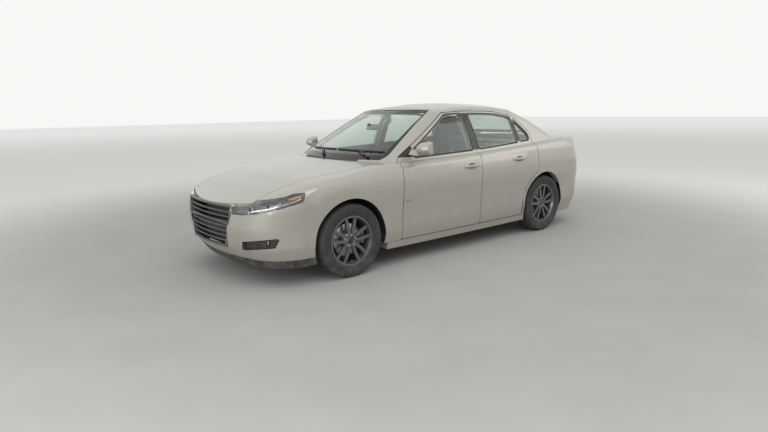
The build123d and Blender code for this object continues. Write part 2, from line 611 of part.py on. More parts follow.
def build_outer_panels():
    """Roof, hood, trunk lid, fenders and the strips before and behind the cabin."""
    roof = (cabin_shell(0.0, ROOF_THICKNESS) & roof_prism()) \
        - screen_prism(WINDSHIELD_SPAN, True, 1) - screen_prism(REAR_WINDOW_SPAN, False, 1)
    headers = (cabin_shell(ROOF_THICKNESS - 4, RAIL_WALL) & (
        box_between((60, -ROOF_EDGE_Y + 40, 1300), (ROOF_FRONT_X - 40, ROOF_EDGE_Y - 40, 1500))
        + box_between((ROOF_REAR_X + 55, -ROOF_EDGE_Y + 75, 1300), (ROOF_REAR_X + 150, ROOF_EDGE_Y - 75, 1500))))
    headers = headers - screen_prism(WINDSHIELD_SPAN, True, 1) - screen_prism(REAR_WINDOW_SPAN, False, 1)
    add("roof_panel", roof + headers)

    arm = hood_arm()
    add("hood", (body_shell(0.0, HOOD_THICKNESS) & hood_prism()) + arm + mirrored(arm))
    lid = (body_shell(0.0, LID_SKIN + 2) & lid_prism()) + (body_shell(LID_SKIN, LID_THICKNESS) & lid_prism(-LID_STEP))
    neck = lid_neck()
    add("trunk_lid", lid + neck + mirrored(neck))

    pillar_feet = cabin_block(-SHEET_GAP) & box_between((-2300, FOOT_Y - SEAT_GAP, 800), (1300, 1000, 1300))
    pillar_feet = [pillar_feet, mirrored(pillar_feet)]
    cowl_region = plan_prism([(HOOD_REAR_X + 30, 560), (HOOD_REAR_CORNER[0] - 60, HOOD_REAR_CORNER[1] - 6),
                              (HOOD_REAR_CORNER[0] - 60, -HOOD_REAR_CORNER[1] + 6), (HOOD_REAR_X + 30, -560)], 700, 1000)
    cowl = (body_shell(HOOD_THICKNESS + 14, COWL_UNDERSIDE) & cowl_region) - cabin_block(RAIL_WALL - 8)
    for foot in pillar_feet:
        cowl = cowl - foot
    foot = cabin_shell(SCREEN_OUTER, RAIL_WALL) & box_between((700, -FOOT_Y, 885), (1200, FOOT_Y, 947))
    add("cowl_panel", cowl + foot)

    deck = (body_shell(0.0, ROOF_THICKNESS) & plan_prism(
        [(-1560, -FOOT_Y - 150), (-1560, FOOT_Y + 150), (TAIL_X + 700, FOOT_Y + 150), (TAIL_X + 300, FOOT_Y + 150),
         (TAIL_X + 300, -FOOT_Y - 150)], 900, 1200)) - lid_prism(SHUT_GAP) - cabin_block(RAIL_WALL + 1)
    for foot in pillar_feet:
        deck = deck - foot
    add("rear_deck", deck)

    fender = body_shell(0.0, FENDER_SKIN) & side_prism([
        (FRONT_DOOR_X + SHUT_GAP, 238), (FRONT_DOOR_X + SHUT_GAP - 8, BELT_HEIGHT - 40),
        (FRONT_DOOR_X + SHUT_GAP - 8, 1100), (NOSE_X - 100, 1100), (NOSE_X - 100, 400), (1300, 238)], 460, 1000)
    for cutter in (hood_prism(SHUT_GAP - 1), cabin_block(-SHEET_GAP), side_prism(FRONT_BUMPER_SEAM, 0, 1100),
                   lamp_prism(HEAD_LAMP, HEAD_LAMP_INNER_Y, LAMP_GAP), arch_cutters(ARCH_RADIUS)[0],
                   box_between((700, 300, 700), (1100, HOOD_REAR_CORNER[1] + SHUT_GAP - 1, 1200))):
        fender = fender - cutter
    add_pair("front_fender", fender)


def grille_outline(grow=0.0):
    """Front view outline of the grille opening."""
    (top, top_y), (bottom, bottom_y) = GRILLE_TOP, GRILLE_BOTTOM
    return [(-bottom_y - grow, bottom - grow), (bottom_y + grow, bottom - grow),
            (top_y + grow, top + grow), (-top_y - grow, top + grow)]


def build_ends():
    """Bumpers, lip, grille, lamps and fog recesses."""
    front_zone = side_prism(FRONT_BUMPER_SEAM, -1100, 1100) & box_between((1000, -1100, LIP_TOP), (2500, 1100, 1000))
    bumper = body_shell(0.0, BUMPER_SKIN) & front_zone
    lamps = lamp_prism(HEAD_LAMP, HEAD_LAMP_INNER_Y, LAMP_GAP)
    arch = arch_cutters(ARCH_RADIUS)
    fog = front_prism(FOG_SLOT, 1800, 2400, 12)
    cutters = [hood_prism(SHUT_GAP), front_prism(grille_outline(), 1900, 2400, 20)]
    for cutter in (lamps, arch[0], fog):
        cutters += [cutter, mirrored(cutter)]
    for cutter in cutters:
        bumper = bumper - cutter
    add("front_bumper", bumper)

    lip = body_shell(-LIP_PROUD, BUMPER_SKIN + 8) & side_prism(FRONT_BUMPER_SEAM, -1100, 1100) \
        & box_between((1000, -1100, UNDERSIDE_HEIGHT), (2500, 1100, LIP_TOP - SEAT_GAP))
    for cutter in (arch[0], mirrored(arch[0])):
        lip = lip - cutter

    # Grille: slats and bars on a backing frame, all bowed like the nose
    bow = Pos(NOSE_X - BODY_SECTIONS[2][1] - NOSE_BOW, 0, 0)
    opening = front_prism(grille_outline(-SEAT_GAP), 1900, 2400, 20)

    def bowed(near, far, low, high):
        """Band of the bowed nose between two depths and two heights."""
        ring = Cylinder(NOSE_BOW - near, high - low) - Cylinder(NOSE_BOW - far, high - low)
        return bow * Pos(0, 0, (low + high) / 2) * ring & box_between((1900, -600, 0), (2500, 600, 1000))

    low, high = GRILLE_BOTTOM[0], GRILLE_TOP[0]
    frame = (bowed(14, GRILLE_DEPTH, low, high) & opening) - front_prism(grille_outline(-GRILLE_FRAME), 1800, 2500, 12)
    field = front_prism(grille_outline(-GRILLE_FRAME + 3), 1900, 2400)
    pitch = (high - low - 2 * GRILLE_FRAME) / (GRILLE_SLATS + 1)
    grille = frame
    for k in range(GRILLE_SLATS):
        middle_height = low + GRILLE_FRAME + pitch * (k + 1)
        grille = grille + (bowed(18, GRILLE_DEPTH - 4, middle_height - SLAT_HEIGHT / 2,
                                 middle_height + SLAT_HEIGHT / 2) & field)
    add("grille", grille)

    # Lamps: a housing behind a lens
    shape = lamp_prism(HEAD_LAMP, HEAD_LAMP_INNER_Y, -SEAT_GAP) - hood_prism(SHUT_GAP)
    lens = body_shell(1.0, 1.0 + LENS_THICKNESS) & shape
    housing = (body_shell(LENS_THICKNESS + 1.5, LAMP_DEPTH) & shape) - lens
    add("head_lamps", housing, mirrored(housing))
    add("head_lamp_lenses", lens, mirrored(lens))
    tail = body_shell(0.5, LAMP_DEPTH) & lamp_prism(TAIL_LAMP, TAIL_LAMP_INNER_Y, -SEAT_GAP)
    tail = tail - lid_prism(SHUT_GAP)
    add("tail_lamps", tail, mirrored(tail))

    fog_insert = (body_shell(BUMPER_SKIN + SHEET_GAP, FOG_DEPTH + 8) & front_prism(outline_grow(FOG_SLOT, 8), 1800, 2400, 16)) \
        - (body_shell(0.0, FOG_DEPTH) & front_prism(outline_grow(FOG_SLOT, -1), 1800, 2400, 12))
    add("front_lip", lip, fog_insert, mirrored(fog_insert))

    rear_zone = side_prism(REAR_BUMPER_SEAM, -1100, 1100)
    rear = body_shell(0.0, BUMPER_SKIN) & rear_zone
    for cutter in (arch[1], mirrored(arch[1])):
        rear = rear - cutter
    add("rear_bumper", rear)


def outline_grow(points, amount):
    """Corner points of an outline offset by an amount."""
    face = offset(outline_face(points), amount, kind=Kind.INTERSECTION).face()
    return [(edge.position_at(0).X, edge.position_at(0).Y) for edge in face.outer_wire().order_edges()]


def build_screens():
    """Windshield and rear window, each seated in its opening."""
    layer = cabin_shell(SCREEN_OUTER, SCREEN_INNER)
    add("windshield", layer & screen_prism(WINDSHIELD_SPAN, True, 1 - SEAT_GAP))
    add("rear_window", layer & screen_prism(REAR_WINDOW_SPAN, False, 1 - SEAT_GAP))


# Running gear
BALL_JOINT = (FRONT_AXLE_X + 5, WHEEL_Y - 63, 196.0)
STRUT_TOP = (FRONT_AXLE_X - 23, WHEEL_Y - 177, 790.0)
STRUT_FOOT = (FRONT_AXLE_X - 4, WHEEL_Y - 139, 400.0)
STRUT_TUBE_RADIUS = 25.0
STRUT_ROD_RADIUS = 11.0
SPRING_RADIUS = 60.0
HUB_FACE = 45.0
DISC_THICKNESS = 22.0
DISC_OUTBOARD = 10.0
SPINDLE_RADIUS = 22.0
SPINDLE_CLEARANCE = 0.05
BEARING_RADIUS = 42.0
BEARING_NEAR = -78.0
BEARING_FAR = -16.0
STUD_RADIUS = 9.0
RAIL_NEAR_Y = 380.0
RAIL_FAR_Y = 440.0
RADIATOR_X = NOSE_X - 215
FLOOR_SHEET = 8.0
FLOOR_HEIGHT = 178.0
FLOOR_HALF = 772.0
FIREWALL_X = 1010.0
FIREWALL_HALF = 745.0
FLOOR_SPLIT_X = -960.0


def wheel_ring(profile):
    """Turn an (offset, radius) profile about the wheel's axis, which runs along Y."""
    face = outline_face([(radius, offset_y) for offset_y, radius in profile])
    return revolve(face, Axis.Y)


def build_wheel_shapes():
    """Rim with spokes, hub and disc, and tyre, for the left side about the wheel's centre."""
    half = RIM_WIDTH / 2
    barrel = wheel_ring([(-half, RIM_RADIUS - 14), (-half, RIM_FLANGE), (-half + 8, RIM_FLANGE),
                         (-half + 14, RIM_RADIUS), (half - 14, RIM_RADIUS), (half - 8, RIM_FLANGE),
                         (half, RIM_FLANGE), (half, RIM_RADIUS - 4), (half - 24, RIM_RADIUS - 14)])
    hub = wheel_ring([(HUB_FACE - 60, 0), (HUB_FACE - 60, 34), (HUB_FACE - 12, 34), (HUB_FACE - 12, 72),
                      (HUB_FACE + 12, 72), (HUB_FACE + 22, 60), (HUB_FACE + 22, 34), (HUB_FACE + 16, 30),
                      (HUB_FACE + 16, 0)])
    spoke_face = outline_face([(-15, 48), (-21, 120), (-13, RIM_RADIUS - 8), (13, RIM_RADIUS - 8),
                               (9, 120), (5, 48)])
    spoke = Pos(0, HUB_FACE + 6, 0) * extrude(Plane.XZ * spoke_face, 24, dir=(0, 1, 0))
    spokes = []
    for k in range(SPOKE_PAIRS):
        for lean in (-SPOKE_SPREAD, SPOKE_SPREAD):
            one = spoke if lean < 0 else mirror(spoke, about=Plane.YZ)
            spokes.append(Rot(0, k * 360 / SPOKE_PAIRS + lean, 0) * one)
    disc = wheel_ring([(DISC_OUTBOARD - DISC_THICKNESS, 30), (DISC_OUTBOARD - DISC_THICKNESS, DISC_RADIUS),
                       (DISC_OUTBOARD, DISC_RADIUS), (DISC_OUTBOARD, 72), (HUB_FACE - 10, 66), (HUB_FACE - 10, 30)])
    spindle = wheel_ring([(BEARING_NEAR, 0), (BEARING_NEAR, SPINDLE_RADIUS), (HUB_FACE - 50, SPINDLE_RADIUS),
                          (HUB_FACE - 50, 0)])
    rim = barrel + hub + disc + spindle
    for one in spokes:
        rim = rim + one
    tread = TYRE_WIDTH / 2 - 14
    wall = TYRE_WIDTH / 2
    tyre = wheel_ring([
        (-half + 14.4, RIM_RADIUS + SEAT_GAP), (-half + 8.4, RIM_FLANGE + SEAT_GAP), (-half - 4, RIM_FLANGE + SEAT_GAP),
        (-wall, (RIM_FLANGE + TYRE_RADIUS) / 2),
        (-wall + 4, TYRE_RADIUS - 22), (-tread, TYRE_RADIUS - 6), (-tread + 30, TYRE_RADIUS),
        (tread - 30, TYRE_RADIUS), (tread, TYRE_RADIUS - 6), (wall - 4, TYRE_RADIUS - 22),
        (wall, (RIM_FLANGE + TYRE_RADIUS) / 2), (half + 4, RIM_FLANGE + SEAT_GAP),
        (half - 8.4, RIM_FLANGE + SEAT_GAP), (half - 14.4, RIM_RADIUS + SEAT_GAP)])
    return rim, tyre


SPOKE_SPREAD = 13.0


def build_wheels():
    rim, tyre = build_wheel_shapes()
    for axle, x in (("front", FRONT_AXLE_X), ("rear", REAR_AXLE_X)):
        place = Pos(x, WHEEL_Y, TYRE_RADIUS)
        add_pair("wheel_" + axle, place * rim)
        add_pair("tyre_" + axle, place * tyre)


def rod(start, end, radius):
    """Round bar between two points."""
    start, end = Vector(start), Vector(end)
    direction = end - start
    plane = Plane(origin=start, z_dir=direction)
    return plane * Pos(0, 0, direction.length / 2) * Cylinder(radius, direction.length)


def caliper(x, behind):
    """Brake caliper that straddles the disc, on the side of the axle that behind gives."""
    outer = cross_cylinder(x, TYRE_RADIUS, DISC_RADIUS + 28, WHEEL_Y - 42, WHEEL_Y + 34)
    inner = cross_cylinder(x, TYRE_RADIUS, DISC_RADIUS - 38, WHEEL_Y - 60, WHEEL_Y + 60)
    slot = cross_cylinder(x, TYRE_RADIUS, DISC_RADIUS + 8, WHEEL_Y + DISC_OUTBOARD - DISC_THICKNESS - 5,
                          WHEEL_Y + DISC_OUTBOARD + 5)
    window = side_prism([(x, TYRE_RADIUS), (x + behind * 220, TYRE_RADIUS - 76), (x + behind * 220, TYRE_RADIUS + 76)])
    return ((outer - inner) & window) - slot


def stud(radius, reach):
    """Ball joint's stud along the steering axis of the left wheel."""
    along = (Vector(*STRUT_TOP) - Vector(*BALL_JOINT)).normalized()
    return rod(Vector(*BALL_JOINT) - along * 20, Vector(*BALL_JOINT) + along * reach, radius)


def build_front_suspension():
    """Knuckle with bearing, caliper and strut on each side, and the subframe with its arms."""
    bearing = cross_cylinder(FRONT_AXLE_X, TYRE_RADIUS, BEARING_RADIUS, WHEEL_Y + BEARING_NEAR, WHEEL_Y + BEARING_FAR)
    upright = side_prism([
        (FRONT_AXLE_X - 42, TYRE_RADIUS - 40), (FRONT_AXLE_X - 20, BALL_JOINT[2]), (FRONT_AXLE_X + 28, BALL_JOINT[2]),
        (FRONT_AXLE_X + 42, TYRE_RADIUS - 40), (FRONT_AXLE_X + 36, TYRE_RADIUS + 60),
        (FRONT_AXLE_X - 36, TYRE_RADIUS + 60)], WHEEL_Y + BEARING_NEAR, WHEEL_Y + BEARING_NEAR + 32, 10)
    horn = side_prism([(FRONT_AXLE_X - 32, TYRE_RADIUS + 30), (FRONT_AXLE_X + 28, TYRE_RADIUS + 30),
                       (FRONT_AXLE_X + 24, STRUT_FOOT[2] + 50), (FRONT_AXLE_X - 30, STRUT_FOOT[2] + 50)],
                      STRUT_FOOT[1] + 10, WHEEL_Y + BEARING_NEAR + 14)
    carrier = side_prism([(FRONT_AXLE_X - 20, TYRE_RADIUS - 50), (FRONT_AXLE_X - DISC_RADIUS - 20, TYRE_RADIUS - 50),
                          (FRONT_AXLE_X - DISC_RADIUS - 20, TYRE_RADIUS + 50), (FRONT_AXLE_X - 20, TYRE_RADIUS + 50)],
                         WHEEL_Y - 66, WHEEL_Y - 40)
    tube = rod(STRUT_FOOT, tuple(a + (b - a) * 0.65 for a, b in zip(STRUT_FOOT, STRUT_TOP)), STRUT_TUBE_RADIUS)
    piston = rod(STRUT_FOOT, STRUT_TOP, STRUT_ROD_RADIUS)
    seat_at = tuple(a + (b - a) * 0.64 for a, b in zip(STRUT_FOOT, STRUT_TOP))
    seat_end = tuple(a + (b - a) * 0.67 for a, b in zip(STRUT_FOOT, STRUT_TOP))
    spring_end = tuple(a + (b - a) * 0.97 for a, b in zip(STRUT_FOOT, STRUT_TOP))
    spring = rod(seat_end, spring_end, SPRING_RADIUS - 12) + rod(seat_at, seat_end, SPRING_RADIUS)
    knuckle = bearing + upright + horn + carrier + tube + piston + spring + caliper(FRONT_AXLE_X, -1)
    bore = cross_cylinder(FRONT_AXLE_X, TYRE_RADIUS, SPINDLE_RADIUS + SPINDLE_CLEARANCE, 500, WHEEL_Y)
    knuckle = knuckle - bore - stud(STUD_RADIUS + SPINDLE_CLEARANCE, 24)
    add_pair("knuckle", knuckle)

    cross = box_between((FRONT_AXLE_X - 150, -330, 178), (FRONT_AXLE_X - 30, 330, 238)) \
        + box_between((FRONT_AXLE_X - 60, -330, 178), (FRONT_AXLE_X + 320, -270, 228)) \
        + box_between((FRONT_AXLE_X - 60, 270, 178), (FRONT_AXLE_X + 320, 330, 228)) \
        + box_between((FRONT_AXLE_X + 260, -330, 178), (FRONT_AXLE_X + 320, 330, 228))
    arm = plan_prism([(FRONT_AXLE_X - 120, 300), (FRONT_AXLE_X + 110, 300), (FRONT_AXLE_X + 60, 400),
                      (BALL_JOINT[0] + 19, BALL_JOINT[1] + 14), (BALL_JOINT[0] - 19, BALL_JOINT[1] + 14),
                      (FRONT_AXLE_X - 90, 420)], 168, 188)
    rail = box_between((FIREWALL_X + 12 + SEAT_GAP, RAIL_NEAR_Y, 400), (NOSE_X - 140, RAIL_FAR_Y, 470))
    posts = box_between((FRONT_AXLE_X - 150, 320, 190), (FRONT_AXLE_X - 110, RAIL_FAR_Y, 410)) \
        + box_between((FRONT_AXLE_X + 270, 320, 190), (FRONT_AXLE_X + 310, RAIL_FAR_Y, 410)) \
        + box_between((RADIATOR_X - 5, RAIL_NEAR_Y, 270), (RADIATOR_X + 45, RAIL_FAR_Y, 410))
    tower = box_between((FRONT_AXLE_X - 105, RAIL_FAR_Y - 4, 405), (FRONT_AXLE_X + 85, RAIL_FAR_Y + 8, 812)) \
        + box_between((FRONT_AXLE_X - 105, RAIL_FAR_Y - 4, 800), (FRONT_AXLE_X + 85, 660, 812))
    bracket = box_between((1560, ENGINE_HIGH[1] + SEAT_GAP, 420), (1650, RAIL_NEAR_Y + 4, 455))
    one = arm + stud(STUD_RADIUS, 18) + rail + posts + tower + bracket
    reach = box_between((1560, -ENGINE_LOW[1] + SEAT_GAP, 420), (1650, ENGINE_HIGH[1] + 1, 455))
    beam = box_between((NOSE_X - 141, -540, 420), (NOSE_X - 105, 540, 500))
    tray = box_between((RADIATOR_X - 5, -RAIL_FAR_Y, 270), (RADIATOR_X + 45, RAIL_FAR_Y, 300 - SEAT_GAP))
    frame = cross + beam + tray
    for piece in (one, mirrored(one), mirrored(reach)):
        frame = frame + piece
    add("front_subframe", frame)


def build_rear_axle():
    """Twist beam with trailing arms, stub spindles, springs and calipers."""
    beam = box_between((REAR_AXLE_X + 120, -560, 250), (REAR_AXLE_X + 190, 560, 320))
    arm = side_prism([(REAR_AXLE_X - 60, 270), (REAR_AXLE_X + 430, 225), (REAR_AXLE_X + 460, 265),
                      (REAR_AXLE_X + 200, 330), (REAR_AXLE_X - 60, 360)], 520, 575)
    plate = box_between((REAR_AXLE_X - 60, 560, TYRE_RADIUS - 60), (REAR_AXLE_X + 60, WHEEL_Y + BEARING_NEAR + 20, TYRE_RADIUS + 60))
    bearing = cross_cylinder(REAR_AXLE_X, TYRE_RADIUS, BEARING_RADIUS, WHEEL_Y + BEARING_NEAR, WHEEL_Y + BEARING_FAR)
    carrier = side_prism([(REAR_AXLE_X + 20, TYRE_RADIUS - 50), (REAR_AXLE_X + DISC_RADIUS + 20, TYRE_RADIUS - 50),
                          (REAR_AXLE_X + DISC_RADIUS + 20, TYRE_RADIUS + 50), (REAR_AXLE_X + 20, TYRE_RADIUS + 50)],
                         WHEEL_Y + BEARING_NEAR, WHEEL_Y - 40)
    spring = rod((REAR_AXLE_X + 60, 415, 310), (REAR_AXLE_X + 60, 415, 353.5), 50)
    one = arm + plate + bearing + carrier + caliper(REAR_AXLE_X, 1)
    one = one + box_between((REAR_AXLE_X + 5, 360, 300), (REAR_AXLE_X + 190, 545, 322)) + spring
    bore = cross_cylinder(REAR_AXLE_X, TYRE_RADIUS, SPINDLE_RADIUS + SPINDLE_CLEARANCE, WHEEL_Y + BEARING_NEAR - 3, WHEEL_Y)
    one = one - bore
    add("rear_axle", beam + one + mirrored(one))


def rear_floor(x):
    """Height of the floor's lower side between the seat step and the trunk."""
    start = FLOOR_HEIGHT + 130
    return start + (-760 - x) / 940 * (400 - start)


def build_floor():
    """Floor, firewall, seat step, trunk floor and wheel liners."""
    low, high = FLOOR_HEIGHT, FLOOR_HEIGHT + FLOOR_SHEET
    t = FLOOR_SHEET
    front = [(940, low), (-640, low), (-760, low + 130), (FLOOR_SPLIT_X, rear_floor(FLOOR_SPLIT_X)),
             (FLOOR_SPLIT_X, rear_floor(FLOOR_SPLIT_X) + t), (-757, low + 130 + t),
             (-640, high), (930, high), (FIREWALL_X, 330), (FIREWALL_X, 400), (FIREWALL_X + 12, 400),
             (FIREWALL_X + 12, 325)]
    rear = [(FLOOR_SPLIT_X, rear_floor(FLOOR_SPLIT_X)), (-1700, 400), (-1960, 400), (-1990, 330), (-2200, 330),
            (-2200, 330 + t), (-1999, 330 + t), (-1966, 400 + t), (-1697, 400 + t),
            (FLOOR_SPLIT_X, rear_floor(FLOOR_SPLIT_X) + t)]
    pan = (side_prism(front, -FLOOR_HALF, FLOOR_HALF) & body_block(SILL_WALL + SHEET_GAP)) \
        + (side_prism(rear, -FLOOR_HALF, FLOOR_HALF) & body_block(QUARTER_WALL + SHEET_GAP)) \
        + (box_between((FIREWALL_X, -FIREWALL_HALF, 390), (FIREWALL_X + 12, FIREWALL_HALF, 900))
           & body_block(COWL_UNDERSIDE + SEAT_GAP))
    tunnel_outer = front_prism([(-150, low), (-105, low + 130), (105, low + 130), (150, low)], -755, 935)
    tunnel_inner = front_prism([(-140, low - 1), (-98, low + 122), (98, low + 122), (140, low - 1)], -770, 1100)
    pan = (pan + tunnel_outer) - tunnel_inner
    for x, radius in ((FRONT_AXLE_X, LINER_RADIUS + LINER_SKIN + 2), (REAR_AXLE_X, LINER_RADIUS + LINER_SKIN + 2)):
        clear = cross_cylinder(x, TYRE_RADIUS, radius, LINER_WALL_Y - LINER_SKIN - 2, 1100)
        pan = pan - clear - mirrored(clear)
    for y in (-578.3, -513.3, 513.3, 578.3):
        pan = pan + box_between((-935, y - 3, 232), (-872, y + 3, 324))
    add("floor_pan", pan)
    liners = []
    for x in (FRONT_AXLE_X, REAR_AXLE_X):
        outer = cross_cylinder(x, TYRE_RADIUS, LINER_RADIUS + LINER_SKIN, LINER_WALL_Y - LINER_SKIN, 1000)
        inner = cross_cylinder(x, TYRE_RADIUS, LINER_RADIUS, LINER_WALL_Y, 1100)
        shell = (outer - inner) & box_between((x - 500, 400, LINER_LOW if x > 0 else LINER_LOW + 80), (x + 500, 1100, 800))
        strut_hole = cross_cylinder(x, TYRE_RADIUS, 150, 400, LINER_WALL_Y + 5)
        shell = shell - strut_hole
        if x > 0:
            shell = shell - box_between((x - 92, 440, 600), (x + 56, 672, 900))
        shell = shell & body_block((BUMPER_SKIN if x > 0 else QUARTER_WALL) + SHEET_GAP)
        liners += [shell, mirrored(shell)]
    add("wheel_liners", *liners)


# Cabin furniture
SEAT_Y = 365.0
SEAT_WIDTH = 500.0
FRONT_SEAT_X = -60.0
SEAT_BASE = 330.0
REAR_SEAT_X = -640.0
STEERING_CENTRE = (462.0, SEAT_Y, 812.0)
STEERING_TILT = 24.0
STEERING_RADIUS = 185.0
RIM_GRIP = 14.0


def seat_profile(x, tall):
    """Side view of a seat: cushion, backrest and head restraint as one outline."""
    return [(x + 260, SEAT_BASE), (x + 290, SEAT_BASE + 60), (x + 260, SEAT_BASE + 130), (x - 150, SEAT_BASE + 105),
            (x - 330, SEAT_BASE + tall), (x - 410, SEAT_BASE + tall + 10), (x - 430, SEAT_BASE + tall - 30),
            (x - 300, SEAT_BASE + 120), (x - 250, SEAT_BASE)]


def build_seats():
    seats = []
    for y in (-SEAT_Y, SEAT_Y):
        body = side_prism(seat_profile(FRONT_SEAT_X, 600), y - SEAT_WIDTH / 2, y + SEAT_WIDTH / 2, 16)
        rest = side_prism([(FRONT_SEAT_X - 345, SEAT_BASE + 640), (FRONT_SEAT_X - 375, SEAT_BASE + 790),
                           (FRONT_SEAT_X - 450, SEAT_BASE + 790), (FRONT_SEAT_X - 435, SEAT_BASE + 640)],
                          y - 130, y + 130, 20)
        posts = [rod((FRONT_SEAT_X - 385, y + side, SEAT_BASE + 590), (FRONT_SEAT_X - 400, y + side, SEAT_BASE + 660), 8)
                 for side in (-60, 60)]
        seats.append(body + rest + posts[0] + posts[1])
    rails = [box_between((FRONT_SEAT_X - 240, y - 20, FLOOR_HEIGHT + FLOOR_SHEET), (FRONT_SEAT_X + 240, y + 20, SEAT_BASE))
             for y in (-SEAT_Y - 170, -SEAT_Y + 170, SEAT_Y - 170, SEAT_Y + 170)]
    add("front_seats", *[seat + rails[2 * k] + rails[2 * k + 1] for k, seat in enumerate(seats)])
    base = FLOOR_SHEET + SEAT_GAP
    bench = side_prism([(REAR_SEAT_X + 30, rear_floor(-760) + base + 2), (REAR_SEAT_X + 60, 400), (REAR_SEAT_X + 30, 470),
                        (REAR_SEAT_X - 360, 440), (REAR_SEAT_X - 590, 1020), (REAR_SEAT_X - 690, 1030),
                        (REAR_SEAT_X - 700, 990), (REAR_SEAT_X - 530, 430), (REAR_SEAT_X - 510, rear_floor(REAR_SEAT_X - 510) + base),
                        (-757, rear_floor(-757) + base)], -640, 640, 6)
    for x in (REAR_AXLE_X,):
        clear = cross_cylinder(x, TYRE_RADIUS, LINER_RADIUS + LINER_SKIN + 6, LINER_WALL_Y - LINER_SKIN - 6, 1100)
        bench = bench - clear - mirrored(clear)
    add("rear_seat", bench)


def build_cabin():
    """Dashboard, centre console, parcel shelf and steering wheel."""
    firewall = FIREWALL_X - SEAT_GAP
    lower = side_prism([(firewall, 878), (600, 878), (560, 830), (570, 700), (680, 560), (firewall, 560)], -740, 740)
    top = side_prism([(firewall, 866), (950, 885), (820, 903), (640, 890), (572, 866)], -740, 740)
    dash = (lower & body_block(COWL_UNDERSIDE + SEAT_GAP)) + (top & cabin_block(RAIL_WALL + 10))
    plane = Plane(origin=STEERING_CENTRE, z_dir=(-cos(radians(STEERING_TILT)), 0, sin(radians(STEERING_TILT))),
                  x_dir=(0, 1, 0))
    add("dashboard", dash - plane * (Pos(0, 0, -190) * Cylinder(20, 240)))
    base = FLOOR_HEIGHT + 130 + SEAT_GAP
    console = side_prism([(680, base), (640, 559.7), (420, 470), (-150, 470), (-330, 430), (-330, base)], -100, 100, 6)
    add("centre_console", console)
    shelf = plan_prism([(REAR_SEAT_X - 700, -600), (REAR_SEAT_X - 700, 600), (REAR_SEAT_X - 1060, 490),
                        (REAR_SEAT_X - 1060, -490)], 985, 1000)
    add("parcel_shelf", shelf)

    ring = revolve(Plane.XZ * (Pos(STEERING_RADIUS, 0) * RegularPolygon(RIM_GRIP, 8)), Axis.Z)
    hub = Pos(0, 0, -22) * Cylinder(62, 36)
    arms = [Rot(0, 0, angle) * Pos(STEERING_RADIUS / 2 + 15, 0, -12) * Box(STEERING_RADIUS - 30, 34, 12) for angle in (0, 180, 90)]
    shaft = Pos(0, 0, -120) * Cylinder(14, 190)
    wheel = ring + hub + shaft
    for one in arms:
        wheel = wheel + one
    add("steering_wheel", plane * wheel)
    column = Pos(0, 0, -190) * Cylinder(40, 250) - Pos(0, 0, -190) * Cylinder(14 + SPINDLE_CLEARANCE, 260)
    behind_dash = side_prism([(560 - SEAT_GAP, 900), (560 - SEAT_GAP, 830), (570 - SEAT_GAP, 700), (570, 400), (1100, 400),
                              (1100, 900)], 0, 700)
    add("steering_column", (plane * column) - behind_dash)


# Under the hood and under the floor
ENGINE_LOW = (FRONT_AXLE_X + 60, -300.0, 285.0)
ENGINE_HIGH = (FRONT_AXLE_X + 480, 310.0, 760.0)


def build_mechanics():
    add("engine_block", box_between(ENGINE_LOW, ENGINE_HIGH))
    add("radiator", box_between((RADIATOR_X, -330, 300), (RADIATOR_X + 40, 330, 650)))
    add("fuel_tank", side_prism([(-775, 196), (-1130, 204), (-1130, rear_floor(-1130) - SEAT_GAP), (-800, rear_floor(-800) - SEAT_GAP)], -420, 420, 20))
    pipe = rod((1180, 60, 160), (-1500, 60, 160), 26) + rod((-1500, 60, 160), (-1860, -330, 250), 26) + (Pos(-1500, 60, 160) * Sphere(26))
    silencer = Pos(-1930, -330, 246) * Rot(0, 90, 0) * Cylinder(75, 420)
    tip = rod((-2100, -350, 226), (-2138, -350, 192), 22)
    hanger = box_between((-2060, -350, 300), (-2020, -310, 330 - SEAT_GAP))
    add("exhaust", pipe + silencer + tip + hanger)


# Door mirror housing, from the foot outwards: y, rear, front, low, high
MIRROR_SECTIONS = [
    (866, 556, 640, 1000, 1082),
    (892, 546, 662, 990, 1104),
    (958, 544, 654, 988, 1110),
    (1000, 552, 622, 1002, 1098),
]


def build_trim():
    """Door mirrors."""
    foot = side_prism([(588, 985), (648, 985), (604, 1040)], 770, 884, 5)
    sections = []
    for y, rear, front, low, high in MIRROR_SECTIONS:
        bulge = rear + (front - rear) * 4 / 3
        curve = Bezier((rear, y, low), (bulge, y, low + 4), (bulge, y, high - 14), (rear, y, high))
        sections.append(Wire([curve, Line((rear, y, high), (rear, y, low))]))
    add_pair("mirror", foot + Solid.make_loft(sections, ruled=True))


def main():
    os.makedirs("parts", exist_ok=True)
    for step in (build_body_sides, build_doors, build_outer_panels, build_ends, build_screens, build_wheels,
                 build_front_suspension, build_rear_axle, build_floor, build_seats, build_cabin,
                 build_mechanics, build_trim):
        step()
    for name, shape in NODES.items():
        export_step(shape, os.path.join("parts", name + ".step"))


main()
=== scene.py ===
"""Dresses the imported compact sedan: paint, glass, tyres, lamps, cabin, trim, studio and camera.

Metres.  X points forward, Y to the car's left, Z up.  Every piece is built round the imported
frame and rides on one of its bodies.
"""

import json
import logging
import math
from dataclasses import dataclass, field, replace
from enum import Enum
from typing import Callable, Optional, Sequence, Union

import bmesh
import bpy
from mathutils import Matrix, Vector
from mathutils.bvhtree import BVHTree

